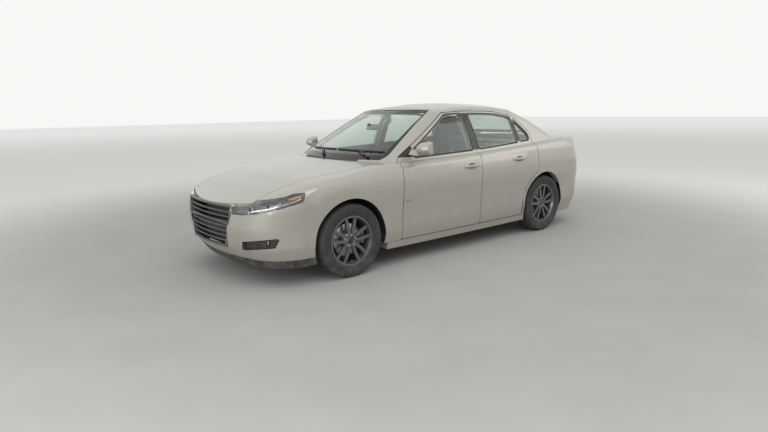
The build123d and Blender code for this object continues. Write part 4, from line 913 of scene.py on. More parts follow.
class Finishes:
    """Every finish of the car, named for what it covers."""

    pillar_black = Zone(SATIN_BLACK, ((0, -0.2960, -0.2010), (2, 0.985, 1.346)))
    sail_black = Zone(SATIN_BLACK, ((0, 0.580, 0.760), (2, 0.968, 1.060)))
    paint = Finish("champagne_paint", "body_paint", (0.365, 0.354, 0.312), (0.45, 0.438, 0.390), 0.34, 0.35,
                   Texture.FLAKE, 1400.0, 1.2, 0.35, 0.05, 0.0002, coat=0.45, dust_top=0.42, dust=0.10)
    door_paint = replace(paint, name="champagne_paint_doors", zones=(pillar_black, sail_black))
    trim = Finish("black_trim", "dark_trim", (0.020, 0.020, 0.021), (0.034, 0.034, 0.035), 0.55, 0.0,
                  Texture.GRAIN, 1100.0, 7.0, 0.6, 0.25, dust_top=0.45, dust=0.45, wear=0.3)
    gloss_black = Finish("gloss_black", "grille_trim", (0.010, 0.010, 0.011), (0.016, 0.016, 0.017), 0.12,
                         0.0, Texture.GRAIN, 900.0, 5.0, 0.5, 0.02, coat=0.8)
    grille = Finish("grille_plastic", "grille_trim", (0.090, 0.091, 0.090), (0.12, 0.121, 0.12), 0.42, 0.1,
                    Texture.GRAIN, 1300.0, 8.0, 0.5, 0.15, dust_top=0.6, dust=0.25)
    # Black rubber of the window seals and hoses; the same finish colours the painted shade sheets under the
    # door handles
    seal = Finish("window_seal", "dark_trim", (0.012, 0.012, 0.012), (0.022, 0.022, 0.022), 0.62, 0.0,
                  Texture.GRAIN, 1600.0, 9.0, 0.6, 0.3)
    alloy = Finish("dark_alloy", "alloy", (0.135, 0.138, 0.142), (0.20, 0.203, 0.207), 0.34, 0.75,
                   Texture.FLAKE, 1700.0, 5.0, 0.5, 0.06, 0.0002, coat=0.35, dust_top=0.75, dust=0.10,
                   wear=0.15)
    steel = Finish("machined_steel", "cast", (0.42, 0.42, 0.42), (0.30, 0.29, 0.28), 0.32, 0.95,
                   Texture.BRUSHED, 900.0, 12.0, 0.6, 0.2, 0.0003)
    chrome = Finish("bright_metal", "lamp_housing", (0.78, 0.79, 0.80), (0.70, 0.71, 0.72), 0.09, 1.0,
                    Texture.BRUSHED, 900.0, 10.0, 0.3, 0.01, 0.0001)
    rubber = Finish("tyre_rubber", "tyre", (0.017, 0.017, 0.018), (0.032, 0.031, 0.030), 0.78, 0.0,
                    Texture.GRAIN, 700.0, 16.0, 0.5, 0.35, dust_top=0.7, dust=0.18)
    cast = Finish("cast_iron", "cast", (0.11, 0.105, 0.10), (0.17, 0.12, 0.085), 0.62, 0.7, Texture.GRAIN,
                  260.0, 18.0, 0.6, 0.5, 0.0008, dust_top=0.7, dust=0.5, wear=0.4)
    chassis = Finish("chassis_black", "chassis", (0.030, 0.030, 0.032), (0.050, 0.046, 0.042), 0.5, 0.2,
                     Texture.GRAIN, 300.0, 9.0, 0.6, 0.3, dust_top=0.6, dust=0.5, wear=0.4)
    floor = Finish("floor_coat", "floor", (0.20, 0.20, 0.19), (0.13, 0.13, 0.125), 0.72, 0.0, Texture.GRAIN,
                   380.0, 5.0, 0.6, 0.5, 0.0008, dust_top=0.32, dust=0.6)
    cloth = Finish("seat_cloth", "seat_cloth", (0.17, 0.162, 0.152), (0.105, 0.10, 0.095), 0.88, 0.0,
                   Texture.WEAVE, 2600.0, 45.0, 0.75, 0.5, 0.0006, sheen=0.25)
    bolster = Finish("seat_bolster_cloth", "seat_cloth", (0.075, 0.073, 0.072), (0.045, 0.044, 0.043), 0.86,
                     0.0, Texture.WEAVE, 3200.0, 60.0, 0.7, 0.45, 0.0005, sheen=0.2)
    cabin = Finish("cabin_plastic", "cabin_trim", (0.070, 0.070, 0.072), (0.095, 0.094, 0.094), 0.6, 0.0,
                   Texture.GRAIN, 850.0, 4.0, 0.5, 0.35, 0.0005)
    cabin_light = Finish("cabin_plastic_light", "cabin_trim", (0.26, 0.25, 0.235), (0.30, 0.29, 0.27), 0.65,
                         0.0, Texture.GRAIN, 850.0, 4.0, 0.5, 0.3, 0.0005)
    grip = Finish("wheel_grip", "cabin_trim", (0.028, 0.028, 0.029), (0.045, 0.044, 0.044), 0.5, 0.0,
                  Texture.GRAIN, 620.0, 20.0, 0.6, 0.4, 0.0006)
    engine = Finish("engine_alloy", "engine", (0.40, 0.40, 0.41), (0.28, 0.27, 0.26), 0.5, 0.8,
                    Texture.GRAIN, 240.0, 12.0, 0.6, 0.5, 0.0008, dust_top=0.6, dust=0.3)
    exhaust = Finish("exhaust_steel", "exhaust", (0.33, 0.31, 0.29), (0.24, 0.17, 0.12), 0.42, 0.9,
                     Texture.BRUSHED, 500.0, 9.0, 0.6, 0.3, dust_top=0.5, dust=0.4)
    tank = Finish("tank_plastic", "tank", (0.025, 0.025, 0.026), (0.04, 0.039, 0.038), 0.6, 0.0,
                  Texture.GRAIN, 500.0, 8.0, 0.6, 0.3, dust_top=0.5, dust=0.5)
    housing = Finish("lamp_bezel", "lamp_housing", (0.19, 0.195, 0.20), (0.26, 0.265, 0.27), 0.28, 0.6,
                     Texture.FLAKE, 1800.0, 6.0, 0.5, 0.04, 0.0002, coat=0.3)
    amber = Finish("amber_marker", "lamp_housing", (0.75, 0.24, 0.02), (0.85, 0.33, 0.04), 0.22, 0.0,
                   Texture.BRUSHED, 400.0, 30.0, 0.5, 0.5, 0.0006, coat=0.8)
    red = Finish("tail_lens_red", "tail_lens", (0.36, 0.012, 0.014), (0.48, 0.022, 0.022), 0.10, 0.0,
                 Texture.BRUSHED, 420.0, 20.0, 0.6, 0.12, 0.0006, coat=1.0,
                 zones=(Zone((0.62, 0.62, 0.60), ((2, 0.846, 0.882),)),))
    mirror_face = Finish("mirror_face", "lamp_housing", (0.80, 0.81, 0.82), (0.76, 0.77, 0.78), 0.045, 1.0,
                         Texture.BRUSHED, 60.0, 4.0, 0.3, 0.002, 0.0001)
    side_glass = GlassFinish("side_glass", "glass", (0.72, 0.82, 0.75))
    lens = GlassFinish("lamp_lens", "lamp_lens", (0.93, 0.95, 0.95))


@dataclass
class Paintwork:
    """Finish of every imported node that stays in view."""

    workshop: Workshop
    covered: dict[str, tuple[str, ...]] = field(default_factory=lambda: {
        "paint": ("body_side", "front_fender", "mirror", "roof_panel", "hood", "trunk_lid", "rear_deck",
                  "front_bumper", "rear_bumper"),
        "door_paint": ("front_door", "rear_door"),
        "trim": ("cowl_panel", "front_lip", "wheel_liners"),
        "grille": ("grille",),
        "housing": ("head_lamps",),
        "lens": ("head_lamp_lenses",),
        "red": ("tail_lamps",),
        "side_glass": ("front_door_window", "rear_door_window"),
        "alloy": ("wheel_front", "wheel_rear"),
        "rubber": ("tyre_front", "tyre_rear"),
        "cast": ("knuckle", "rear_axle"),
        "chassis": ("front_subframe", "radiator"),
        "floor": ("floor_pan",),
        "bolster": ("front_seats", "rear_seat"),
        "cabin": ("dashboard", "centre_console", "steering_column"),
        "cabin_light": ("parcel_shelf",),
        "grip": ("steering_wheel",),
        "engine": ("engine_block",),
        "exhaust": ("exhaust",),
        "tank": ("fuel_tank",)})
    band: float = 0.034
    foot_band: float = 0.040

    def build(self) -> None:
        """Set the finish of each node."""
        finish_of = {stem: finish for finish, stems in self.covered.items() for stem in stems}
        for node in self.workshop.frame["nodes"]:
            stem = node.replace("_left", "").replace("_right", "")
            if stem in ("windshield", "rear_window"):
                self.workshop.paint_node(node, self._screen(node))
            else:
                self.workshop.paint_node(node, getattr(Finishes, finish_of[stem]))
            LOG.info("%s has its finish", node)

    def _screen(self, node: str) -> GlassFinish:
        """Screen glass with a printed band that follows the glass's slanted sides.

        Args:
            node: windshield or rear_window.

        Returns:
            The finish.
        """
        points = [v.co for v in self.workshop.frame["nodes"][node].data.vertices]
        low, high = min(p.z for p in points), max(p.z for p in points)
        low_half = max(abs(p.y) for p in points)
        high_half = max(abs(p.y) for p in points if p.z > high - 0.01) + 0.02
        tint = (0.80, 0.88, 0.82) if node == "windshield" else (0.66, 0.76, 0.69)
        bands = (Zone(INK, ((2, low - 1, low + self.foot_band),)),
                 Zone(INK, ((2, high - self.band, high + 1),)))
        return GlassFinish(node + "_glass", "glass", tint, bands=bands,
                           taper=(low, high, low_half, high_half, self.band))


def grow(outline: Sequence[Point2], by: float) -> list[Point2]:
    """Outline moved outwards by a distance.

    Args:
        outline: its points.
        by: the distance.

    Returns:
        The moved points.
    """
    count = len(outline)
    area = sum(outline[k - 1][0] * outline[k][1] - outline[k][0] * outline[k - 1][1] for k in range(count))
    turn = 1 if area > 0 else -1
    result = []
    for k in range(count):
        along = (Vector(outline[(k + 1) % count]) - Vector(outline[k - 1])).normalized()
        result.append((outline[k][0] + turn * along.y * by, outline[k][1] - turn * along.x * by))
    return result


@dataclass
class Assembly:
    """What every sub-assembly does: seat points on packed surfaces and hand in finished pieces."""

    workshop: Workshop
    sizes: CarSizes = SIZES

    def fit(self, name: str, form: Union[bpy.types.Mesh, list[bpy.types.Mesh]],
            finish: Union[Finish, GlassFinish], body: str = "body") -> bpy.types.Object:
        """Put a mesh, or several joined ones, on a body.

        Args:
            name: name of the piece.
            form: its mesh or meshes.
            finish: its finish.
            body: body that it rides on.

        Returns:
            The new object.
        """
        mesh = Form.join(name, form) if isinstance(form, list) else form
        return self.workshop.piece(name, mesh, body, finish)

    def ray(self, view: str, sign: int = 1) -> tuple[Callable[[float, float], Point], Point]:
        """Start of a ray for two coordinates, and its direction.

        Args:
            view: side, inside, front, rear, aft, top, floor, under or bay.
            sign: 1 on the left, -1 on the right.

        Returns:
            A function that gives the start, and the direction.
        """
        return {"side": (lambda u, v: (u, sign * 1.3, v), (0, -sign, 0)),
                "inside": (lambda u, v: (u, sign * 0.3, v), (0, sign, 0)),
                "front": (lambda u, v: (3.0, u, v), (-1, 0, 0)),
                "rear": (lambda u, v: (-3.0, u, v), (1, 0, 0)),
                "aft": (lambda u, v: (0.45, u, v), (1, 0, 0)),
                "top": (lambda u, v: (u, v, 2.0), (0, 0, -1)),
                "floor": (lambda u, v: (u, v, 0.6), (0, 0, -1)),
                "under": (lambda u, v: (u, v, 1.0), (0, 0, 1)),
                "bay": (lambda u, v: (u, v, 0.5), (0, 0, 1))}[view]

    def cover(self, node: str, view: str, outline: Sequence[Point2], lift: float, sign: int = 1,
             sink: float = 0.001) -> bpy.types.Mesh:
        """Thin cover with a rounded rim.

        Args:
            node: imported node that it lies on.
            view: direction that it is laid from.
            outline: its outline seen from there.
            lift: its height above the surface.
            sign: 1 on the left, -1 on the right.
            sink: how far its foot goes into the surface.

        Returns:
            The mesh.
        """
        start, along = self.ray(view, sign)
        back = -Vector(along)
        middle = Vector([sum(p[k] for p in outline) / len(outline) for k in (0, 1)])
        span = max((Vector(p) - middle).length for p in outline)
        edge = min(0.3, lift / span)
        rings = []
        for share, height in ((1.0, -sink), (1.0, lift * 0.5), (1.0 - edge * 0.4, lift * 0.85),
                              (1.0 - edge, lift), (0.8, lift), (0.6, lift), (0.4, lift), (0.2, lift),
                              (0.04, lift)):
            ring = []
            for point in outline:
                at = middle.lerp(Vector(point), share)
                place, _ = self.workshop.on_surface(node, start(at.x, at.y), along,
                                                    start(middle.x, middle.y))
                ring.append(place + back * height)
            rings.append(ring)
        return Form.loft(rings)

    def seat(self, node: str, view: str, u: float, v: float, sign: int = 1) -> tuple[Vector, Vector]:
        """Point and outward direction where a view's ray meets a node.

        Args:
            node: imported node.
            view: direction that it is laid from.
            u: first coordinate.
            v: second coordinate.
            sign: 1 on the left, -1 on the right.

        Returns:
            The point and the normal there.
        """
        start, along = self.ray(view, sign)
        return self.workshop.on_surface(node, start(u, v), along)

    def sensors(self, end: str, places: Sequence[float], z: float) -> None:
        """Painted parking sensors of one bumper.

        Args:
            end: front or rear.
            places: their places across the car.
            z: their height.
        """
        profile = ((-0.004, 0.0), (-0.004, 0.0105), (0.0004, 0.0105), (0.0012, 0.0092), (0.0013, 0.0))
        seats = [self.seat(end + "_bumper", end, y, z) for y in places]
        self.fit(end + "_sensors", [Form.lathe(profile, at, out, 24) for at, out in seats], Finishes.paint)

    def met(self, node: str, view: str, spots: Sequence[Point2],
            sign: int = 1) -> list[tuple[Vector, Vector]]:
        """Points and outward directions, left out where nothing is met.

        Args:
            node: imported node.
            view: direction that they are laid from.
            spots: their two coordinates.
            sign: 1 on the left, -1 on the right.

        Returns:
            The points with their normals.
        """
        start, along = self.ray(view, sign)
        found = [self.workshop.hit(node, start(u, v), along) for u, v in spots]
        return [pair for pair in found if pair]

    def line(self, node: str, view: str, points: Sequence[Point2], sign: int = 1,
             lift: float = 0.0) -> list[Vector]:
        """Points seated on a surface.

        Args:
            node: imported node.
            view: direction that they are laid from.
            points: their two coordinates.
            sign: 1 on the left, -1 on the right.
            lift: height above the surface.

        Returns:
            The points.
        """
        start, along = self.ray(view, sign)
        return [self.workshop.on_surface(node, start(*p), along)[0] - Vector(along) * lift for p in points]


@dataclass
class Tyres(Assembly):
    """Tyres with blocks, grooves and stepped walls, in place of the plain packed ones."""

    steps: int = 360
    block_every: int = 5
    groove_depth: float = 0.0065
    grooves: tuple[float, ...] = (-0.046, 0.0, 0.046)
    groove_half: float = 0.0045
    slant: float = 90.0
    shoulder: float = 0.052
    cross_share: float = 0.8

    def _columns(self) -> list[tuple[float, float, bool]]:
        """Offsets, radii and tread marks across the tyre.

        Returns:
            (offset, radius, belongs to the tread's blocks) from the inner to the outer bead.
        """
        rim, flange, radius = self.sizes.rim_radius, self.sizes.rim_flange, self.sizes.tyre_radius
        half, wall = self.sizes.rim_width / 2, self.sizes.tyre_width / 2
        tread = wall - 0.014
        side = [(half - 0.0144, rim + 0.0003), (half - 0.0084, flange + 0.0003),
                (half + 0.002, flange + 0.0005), (half + 0.0055, flange + 0.004),
                (half + 0.0058, flange + 0.009), (half + 0.0078, flange + 0.011),
                (wall - 0.004, flange + 0.026), (wall - 0.0005, flange + 0.045),
                (wall - 0.0015, flange + 0.047), (wall - 0.0003, (flange + radius) / 2 + 0.004),
                (wall - 0.001, radius - 0.036), (wall - 0.0025, radius - 0.030),
                (wall - 0.0025, radius - 0.027), (wall - 0.004, radius - 0.022),
                (wall - 0.007, radius - 0.013)]
        across = [tread, tread - 0.012, tread - 0.024]
        for middle in reversed(self.grooves):
            for edge in (0.0012, 0.0):
                across += [middle + self.groove_half + edge, middle - self.groove_half - edge]
        across += [-(tread - 0.024), -(tread - 0.012), -tread]
        columns = [(-y, r, False) for y, r in side]
        for y in sorted(across):
            drop = 0.006 * max(0.0, (abs(y) - (tread - 0.030)) / 0.030) ** 1.5
            columns.append((y, radius - drop, True))
        columns += [(y, r, False) for y, r in reversed(side)]
        return columns

    def build(self) -> None:
        """Make one tyre for each wheel."""
        columns = self._columns()
        rings = []
        for k, angle in enumerate(turns(self.steps)):
            ring = []
            for y, radius, tread in columns:
                if tread:
                    radius -= self._cut(k, y)
                ring.append((radius * math.cos(angle), y, radius * math.sin(angle)))
            rings.append(ring)
        for wheel, _, centre in self.sizes.wheels():
            mesh = Form.loft(rings, closed=True)
            mesh.transform(Matrix.Translation(centre))
            made = self.fit("tread_tyre_" + wheel, mesh, Finishes.rubber, "wheel_" + wheel)
            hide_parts("tyre_" + wheel)

    def _cut(self, k: int, y: float) -> float:
        """Depth of the tread's grooves and cross cuts at one spot.

        Args:
            k: number of the section round the tyre.
            y: offset from the tyre's middle.

        Returns:
            The depth.
        """
        if any(abs(y - g) <= self.groove_half + 0.0001 for g in self.grooves):
            return self.groove_depth
        slanted = k + int(round(abs(y) * self.slant))
        if abs(y) > self.shoulder and slanted % self.block_every == 0:
            return self.groove_depth * self.cross_share
        return 0.0


@dataclass
class WheelDressing(Assembly):
    """Cap, bolts, valve, rim edge and disc face of one wheel."""

    wheel: str = "front_left"
    sign: int = LEFT
    centre: Vector = field(default_factory=Vector)
    bolts: int = 5
    bolt_circle: float = 0.047
    valve_circle: float = 0.181

    def build(self) -> None:
        """Dress the wheel."""
        body = "wheel_" + self.wheel
        self.fit(body + "_cap", self._cap(), Finishes.gloss_black, body)
        self.fit(body + "_bolts", self._bolts(), Finishes.steel, body)
        self.fit(body + "_rim_edge", self._rim_edge(), Finishes.alloy, body)
        self.fit(body + "_disc_face", self._disc(), Finishes.steel, body)

    def _turned(self, profile: Sequence[Point2], at: Vector, steps: int) -> bpy.types.Mesh:
        """Piece turned about the wheel's outward axis.

        Args:
            profile: (distance along the axis, radius) points.
            at: where distance 0 lies.
            steps: segments round the axis.

        Returns:
            The mesh.
        """
        return Form.lathe(profile, at, (0, self.sign, 0), steps)

    def _spot(self, y: float, radius: float, angle: float) -> Vector:
        """Point by its distance outwards, its radius and its angle."""
        return self.centre + Vector((radius * math.cos(angle), self.sign * y, radius * math.sin(angle)))

    def _cap(self) -> bpy.types.Mesh:
        """Blank domed cap over the hub."""
        face = self.sizes.hub_face
        return self._turned([(face + 0.0155, 0.0), (face + 0.0155, 0.0285), (face + 0.019, 0.0285),
                             (face + 0.0212, 0.026), (face + 0.0225, 0.019), (face + 0.0231, 0.010),
                             (face + 0.0233, 0.0)], self.centre, 40)

    def _bolts(self) -> list[bpy.types.Mesh]:
        """Hexagon bolts and the tyre valve."""
        face = self.sizes.hub_face
        profile = [(face + 0.0205, 0.0), (face + 0.0205, 0.0095), (face + 0.0225, 0.0095),
                   (face + 0.0228, 0.0075), (face + 0.0285, 0.0072), (face + 0.0295, 0.0060),
                   (face + 0.0275, 0.0040), (face + 0.0275, 0.0)]
        meshes = [self._turned(profile, self._spot(0.0, self.bolt_circle, angle), 6)
                  for angle in turns(self.bolts, 0.3)]
        valve = ((0.060, 0.0), (0.060, 0.0052), (0.068, 0.0045), (0.070, 0.0032), (0.082, 0.0032),
                 (0.084, 0.0042), (0.0875, 0.0042), (0.0875, 0.0))
        return meshes + [self._turned(valve, self.centre + Vector((0, 0, -self.valve_circle)), 14)]

    def _rim_edge(self) -> bpy.types.Mesh:
        """Rounded bright edge of the rim."""
        half, flange = self.sizes.rim_width / 2, self.sizes.rim_flange
        profile = ((half - 0.002, flange - 0.010), (half + 0.0006, flange - 0.009),
                   (half + 0.0017, flange - 0.005), (half + 0.0017, flange - 0.003),
                   (half + 0.0006, flange - 0.0004), (half - 0.002, flange - 0.0003))
        return Form.loft([[self._spot(y, r, angle) for y, r in profile] for angle in turns(120)],
                         closed=True)

    def _disc(self) -> bpy.types.Mesh:
        """Machined brake disc face with a fine step turned into it."""
        profile = ((0.0101, 0.0755), (0.0107, 0.0765), (0.0107, 0.098), (0.0104, 0.0985), (0.0107, 0.099),
                   (0.0107, 0.1385), (0.0101, 0.1398))
        return Form.loft([[self._spot(y, r, angle) for angle in turns(96)] for y, r in profile],
                         closed=True)


@dataclass
class Studio(Assembly):
    """Floor, backdrop light and lamps."""

    # Floor colours: painted shade near the car, a painted lighter floor further off, and the horizon colour
    # that it fades into
    floor_colour: Colour = (0.405, 0.393, 0.380)
    lit_far_floor_colour: Colour = (0.73, 0.735, 0.705)
    horizon: Colour = (0.98, 0.98, 0.96)
    sky: Colour = (0.95, 0.95, 0.93)
    lamps: tuple[tuple, ...] = (("key_softbox", (2.5, 5.0, 6.5), (0.3, 0.0, 0.5), 6.0, 150.0),
                                ("nose_softbox", (8.0, 3.5, 2.6), (1.8, 0.4, 0.4), 4.5, 210.0),
                                ("tail_softbox", (-6.0, 4.0, 4.0), (-1.0, 0.0, 0.7), 4.0, 60.0))
    floor_half: float = 60.0

    def build(self) -> None:
        """Make the floor, the surroundings and the lamps."""
        self._floor()
        self._surroundings()
        for lamp in self.lamps:
            self._lamp(*lamp)

    def _floor(self) -> None:
        """Pale floor with a faint mottled grain, painted shade round the car and a painted lighter floor
        further off that fades into the horizon colour.
        """
        half = self.floor_half
        mesh = Form.raw([(x, y, 0) for x, y in rectangle(-half, -half, half, half)], [(0, 1, 2, 3)])
        made = bpy.data.objects.new("studio_floor", mesh)
        bpy.context.scene.collection.objects.link(made)
        material, build, shader = open_material("studio_floor")
        patch = build.ramp(build.noise(2.2, 8.0), 0.3, 0.7)
        shaded_near = build.mix(patch, self.floor_colour, tuple(c * 0.95 for c in self.floor_colour))
        reach = build.node("ShaderNodeVectorMath", {0: build.place()}, operation="LENGTH").outputs["Value"]
        # Painted shade round the car: the floor is darkest within 3 m of the car's middle and turns lighter
        # out to 7.5 m, as light would fall
        middle = build.mix(build.ramp(reach, 3.0, 7.5), shaded_near, self.lit_far_floor_colour)
        build.feed(shader.inputs["Base Color"],
                   build.mix(build.ramp(reach, 12.0, 42.0), middle, self.horizon))
        shader.inputs["Roughness"].default_value = 0.85
        shader.inputs["Specular IOR Level"].default_value = 0.2
        mesh.materials.append(material)

    def _surroundings(self) -> None:
        """Even soft light on the car, and a white background to the camera, metal and glass."""
        world = bpy.data.worlds.new("studio_light")
        bpy.context.scene.world = world
        world.use_nodes = True
        build = ShaderBuilder(world.node_tree)
        background = world.node_tree.nodes["Background"]
        path = build.node("ShaderNodeLightPath")
        seen = build.maths("MAXIMUM", path.outputs["Is Camera Ray"],
                           build.maths("MAXIMUM", path.outputs["Is Glossy Ray"],
                                       path.outputs["Is Transmission Ray"]))
        build.feed(background.inputs["Color"], build.mix(seen, (1.0, 1.0, 1.0), self.sky))
        build.feed(background.inputs["Strength"],
                   build.maths("ADD", 0.78, build.maths("MULTIPLY", seen, 0.20)))

    @staticmethod
    def _lamp(name: str, at: Point, aim: Point, size: float, power: float) -> None:
        """One square soft lamp.

        Args:
            name: name of the lamp.
            at: its place.
            aim: point that it shines at.
            size: length of its sides.
            power: its power in watts.
        """
        light = bpy.data.lights.new(name, "AREA")
        light.shape = "SQUARE"
        light.size = size
        light.energy = power
        made = bpy.data.objects.new(name, light)
        made.location = at
        made.rotation_euler = (Vector(aim) - Vector(at)).to_track_quat("-Z", "Y").to_euler()
        bpy.context.scene.collection.objects.link(made)


@dataclass
class CameraRig:
    """Camera at the photograph's place."""

    place: Point = (4.041, 4.543, 1.406)
    heading: float = 230.59
    pitch: float = -10.94
    roll: float = -0.92
    focal: float = 26.1

    def build(self) -> None:
        """Make the camera and give it to the scene."""
        data = bpy.data.cameras.new("photo_camera")
        data.sensor_fit = "HORIZONTAL"
        data.sensor_width = 36.0
        data.lens = self.focal
        data.clip_end = 200.0
        made = bpy.data.objects.new("photo_camera", data)
        bpy.context.scene.collection.objects.link(made)
        heading, pitch = math.radians(self.heading), math.radians(self.pitch)
        ahead = Vector((math.cos(heading) * math.cos(pitch), math.sin(heading) * math.cos(pitch),
                        math.sin(pitch)))
        turn = ahead.to_track_quat("-Z", "Y").to_matrix() @ Matrix.Rotation(math.radians(self.roll), 3, "Z")
        made.matrix_world = Matrix.Translation(self.place) @ turn.to_4x4()
        bpy.context.scene.camera = made


@dataclass
class GlassTrim(Assembly):
    """Seals round the side windows."""

    reach: float = 0.008
    section: tuple[Point2, ...] = ((-0.0085, -0.002), (0.0085, -0.002), (0.0080, 0.0012), (0.0050, 0.0026),
                                   (0.0, 0.0031), (-0.0050, 0.0026), (-0.0080, 0.0012))

    def build(self) -> None:
        """Make the seals of each side."""
        for side, sign in SIDES.items():
            for label, door, outline in (("front_window", "front_door", self.sizes.front_window),
                                         ("rear_window", "rear_door", self.sizes.rear_window),
                                         ("quarter_window", "rear_door", self.sizes.quarter_window)):
                flat = grow(rounded_outline(outline, 0.024, 4, 0.04), self.reach)
                body = "%s_%s" % (door, side)
                points = self.line(body, "side", flat, sign)
                points = [p for p in points if 0.45 < sign * p.y < 0.95]
                mesh = Form.sweep(points, self.section, up=(0, sign, 0), closed=True)
                self.fit("%s_seal_%s" % (label, side), mesh, Finishes.seal, body)


@dataclass
class FrontEnd(Assembly):
    """Head lamps' insides, fog lamps, grille frame and sensors."""

    projectors: tuple[Point2, ...] = ((2.165, 0.649), (2.060, 0.681))
    light_line: tuple[Point2, ...] = ((2.230, 0.621), (2.160, 0.635), (2.060, 0.662), (1.960, 0.689),
                                      (1.880, 0.712), (1.835, 0.727))
    marker: tuple[Point2, ...] = ((1.930, 0.728), (1.900, 0.735), (1.870, 0.742), (1.835, 0.748))
    slot: tuple[Point2, ...] = ((0.505, 0.318), (0.765, 0.352), (0.792, 0.430), (0.530, 0.392))
    frame_sides: tuple[Point2, ...] = ((0.4395, 0.660), (0.420, 0.600), (0.393, 0.520), (0.364, 0.430),
                                       (0.345, 0.370), (0.334, 0.335), (0.318, 0.324), (0.220, 0.323),
                                       (0.110, 0.323))
    frame_foot: Point2 = (0.0, 0.323)
    frame_section: tuple[Point2, ...] = ((-0.009, -0.002), (0.009, -0.002), (0.008, 0.002), (0.005, 0.0035),
                                         (-0.005, 0.0035), (-0.008, 0.002))
    tube: tuple[Point2, ...] = ((-0.014, 0.0), (-0.014, 0.024), (0.008, 0.0275), (0.016, 0.0285),
                                (0.018, 0.0275), (0.014, 0.0245), (0.004, 0.0225), (0.002, 0.0))
    dome: tuple[Point2, ...] = ((0.0015, 0.0), (0.0015, 0.0225), (0.006, 0.0222), (0.011, 0.0185),
                                (0.0145, 0.0115), (0.016, 0.004), (0.0162, 0.0))
    lens_near: float = 0.006
    bowl_rim: float = 0.006
    bowl_depth: float = 0.034
    lamp_axis: Point2 = (0.92, 0.38)
    tube_back: float = 0.012
    guide_depth: float = 0.011
    marker_depth: float = 0.014
    fog: Point2 = (0.690, 0.385)
    fog_depth: float = 0.033
    blade_depth: float = 0.014
    sensor_places: tuple[float, ...] = (-0.83, -0.60, 0.60, 0.83)
    sensor_height: float = 0.50

    def build(self) -> None:
        """Make the front end's pieces."""
        self._bowls()
        for side, sign in SIDES.items():
            self._units(side, sign)
            self._fog(side, sign)
        mirrored = [(-y, z) for y, z in reversed(self.frame_sides)]
        points = self.met("front_bumper", "front", [*self.frame_sides, self.frame_foot, *mirrored])
        frame = Form.sweep([place for place, _ in points], self.frame_section, up=(1, 0, 0))
        self.fit("grille_frame", frame, Finishes.gloss_black)
        self.sensors("front", self.sensor_places, self.sensor_height)

    def _bowls(self) -> None:
        """Lamp housings with a pocket behind the lens."""
        made = bmesh.new()
        made.from_mesh(self.workshop.frame["nodes"]["head_lamps"].data)
        bmesh.ops.remove_doubles(made, verts=made.verts, dist=MERGE)
        made.normal_update()
        lens = self.workshop.tree_of("head_lamp_lenses")
        front = []
        for face in made.faces:
            start = face.calc_center_median() + face.normal * 0.0002
            hit, _, _, far = lens.ray_cast(start, face.normal)
            if hit is not None and far < self.lens_near:
                front.append(face)
        bmesh.ops.inset_region(made, faces=front, thickness=self.bowl_rim, depth=-self.bowl_depth,
                               use_even_offset=True, use_boundary=True)
        mesh = bpy.data.meshes.new("lamp_bowls")
        made.to_mesh(mesh)
        made.free()
        piece = self.fit("lamp_bowls", mesh, Finishes.housing)
        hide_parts("head_lamps")

    def _units(self, side: str, sign: int) -> None:
        """Projectors, light guide and marker of one lamp.

        Args:
            side: left or right.
            sign: 1 on the left, -1 on the right.
        """
        axis = Vector((self.lamp_axis[0], self.lamp_axis[1] * sign, 0.0)).normalized()
        tubes, lenses = [], []
        for x, z in self.projectors:
            place, normal = self.seat("head_lamp_lenses", "side", x, z, sign)
            at = place - normal * self.bowl_depth - axis * self.tube_back
            tubes.append(Form.lathe(self.tube, at, axis, 40))
            lenses.append(Form.lathe(self.dome, at, axis, 40))
        self.fit("projector_rings_" + side, tubes, Finishes.chrome)
        self.fit("projector_lenses_" + side, lenses, Finishes.gloss_black)
        guide = self._inside(self.light_line, sign, self.guide_depth)
        self.fit("light_guide_" + side, Form.sweep(guide, Form.circle(0.0045)), Finishes.chrome)
        marker = self._inside(self.marker, sign, self.marker_depth)
        self.fit("side_marker_" + side, Form.sweep(marker, Form.circle(0.010, 14, 0.9)), Finishes.amber)

    def _inside(self, points: Sequence[Point2], sign: int, depth: float) -> list[Vector]:
        """Points behind the lens.

        Args:
            points: (x, z) points.
            sign: 1 on the left, -1 on the right.
            depth: distance behind its outer face.

        Returns:
            The points.
        """
        return [place - out * depth for place, out in self.met("head_lamp_lenses", "side", points, sign)]

    def _fog(self, side: str, sign: int) -> None:
        """Round lamp and three blades in the bumper's slot.

        Args:
            side: left or right.
            sign: 1 on the left, -1 on the right.
        """
        def skin(y: float) -> float:
            """Bumper's face beside the slot.

            Args:
                y: place across the car.

            Returns:
                The x of the face.
            """
            return min(self.seat("front_bumper", "front", sign * y, z)[0].x for z in (0.475, 0.300))

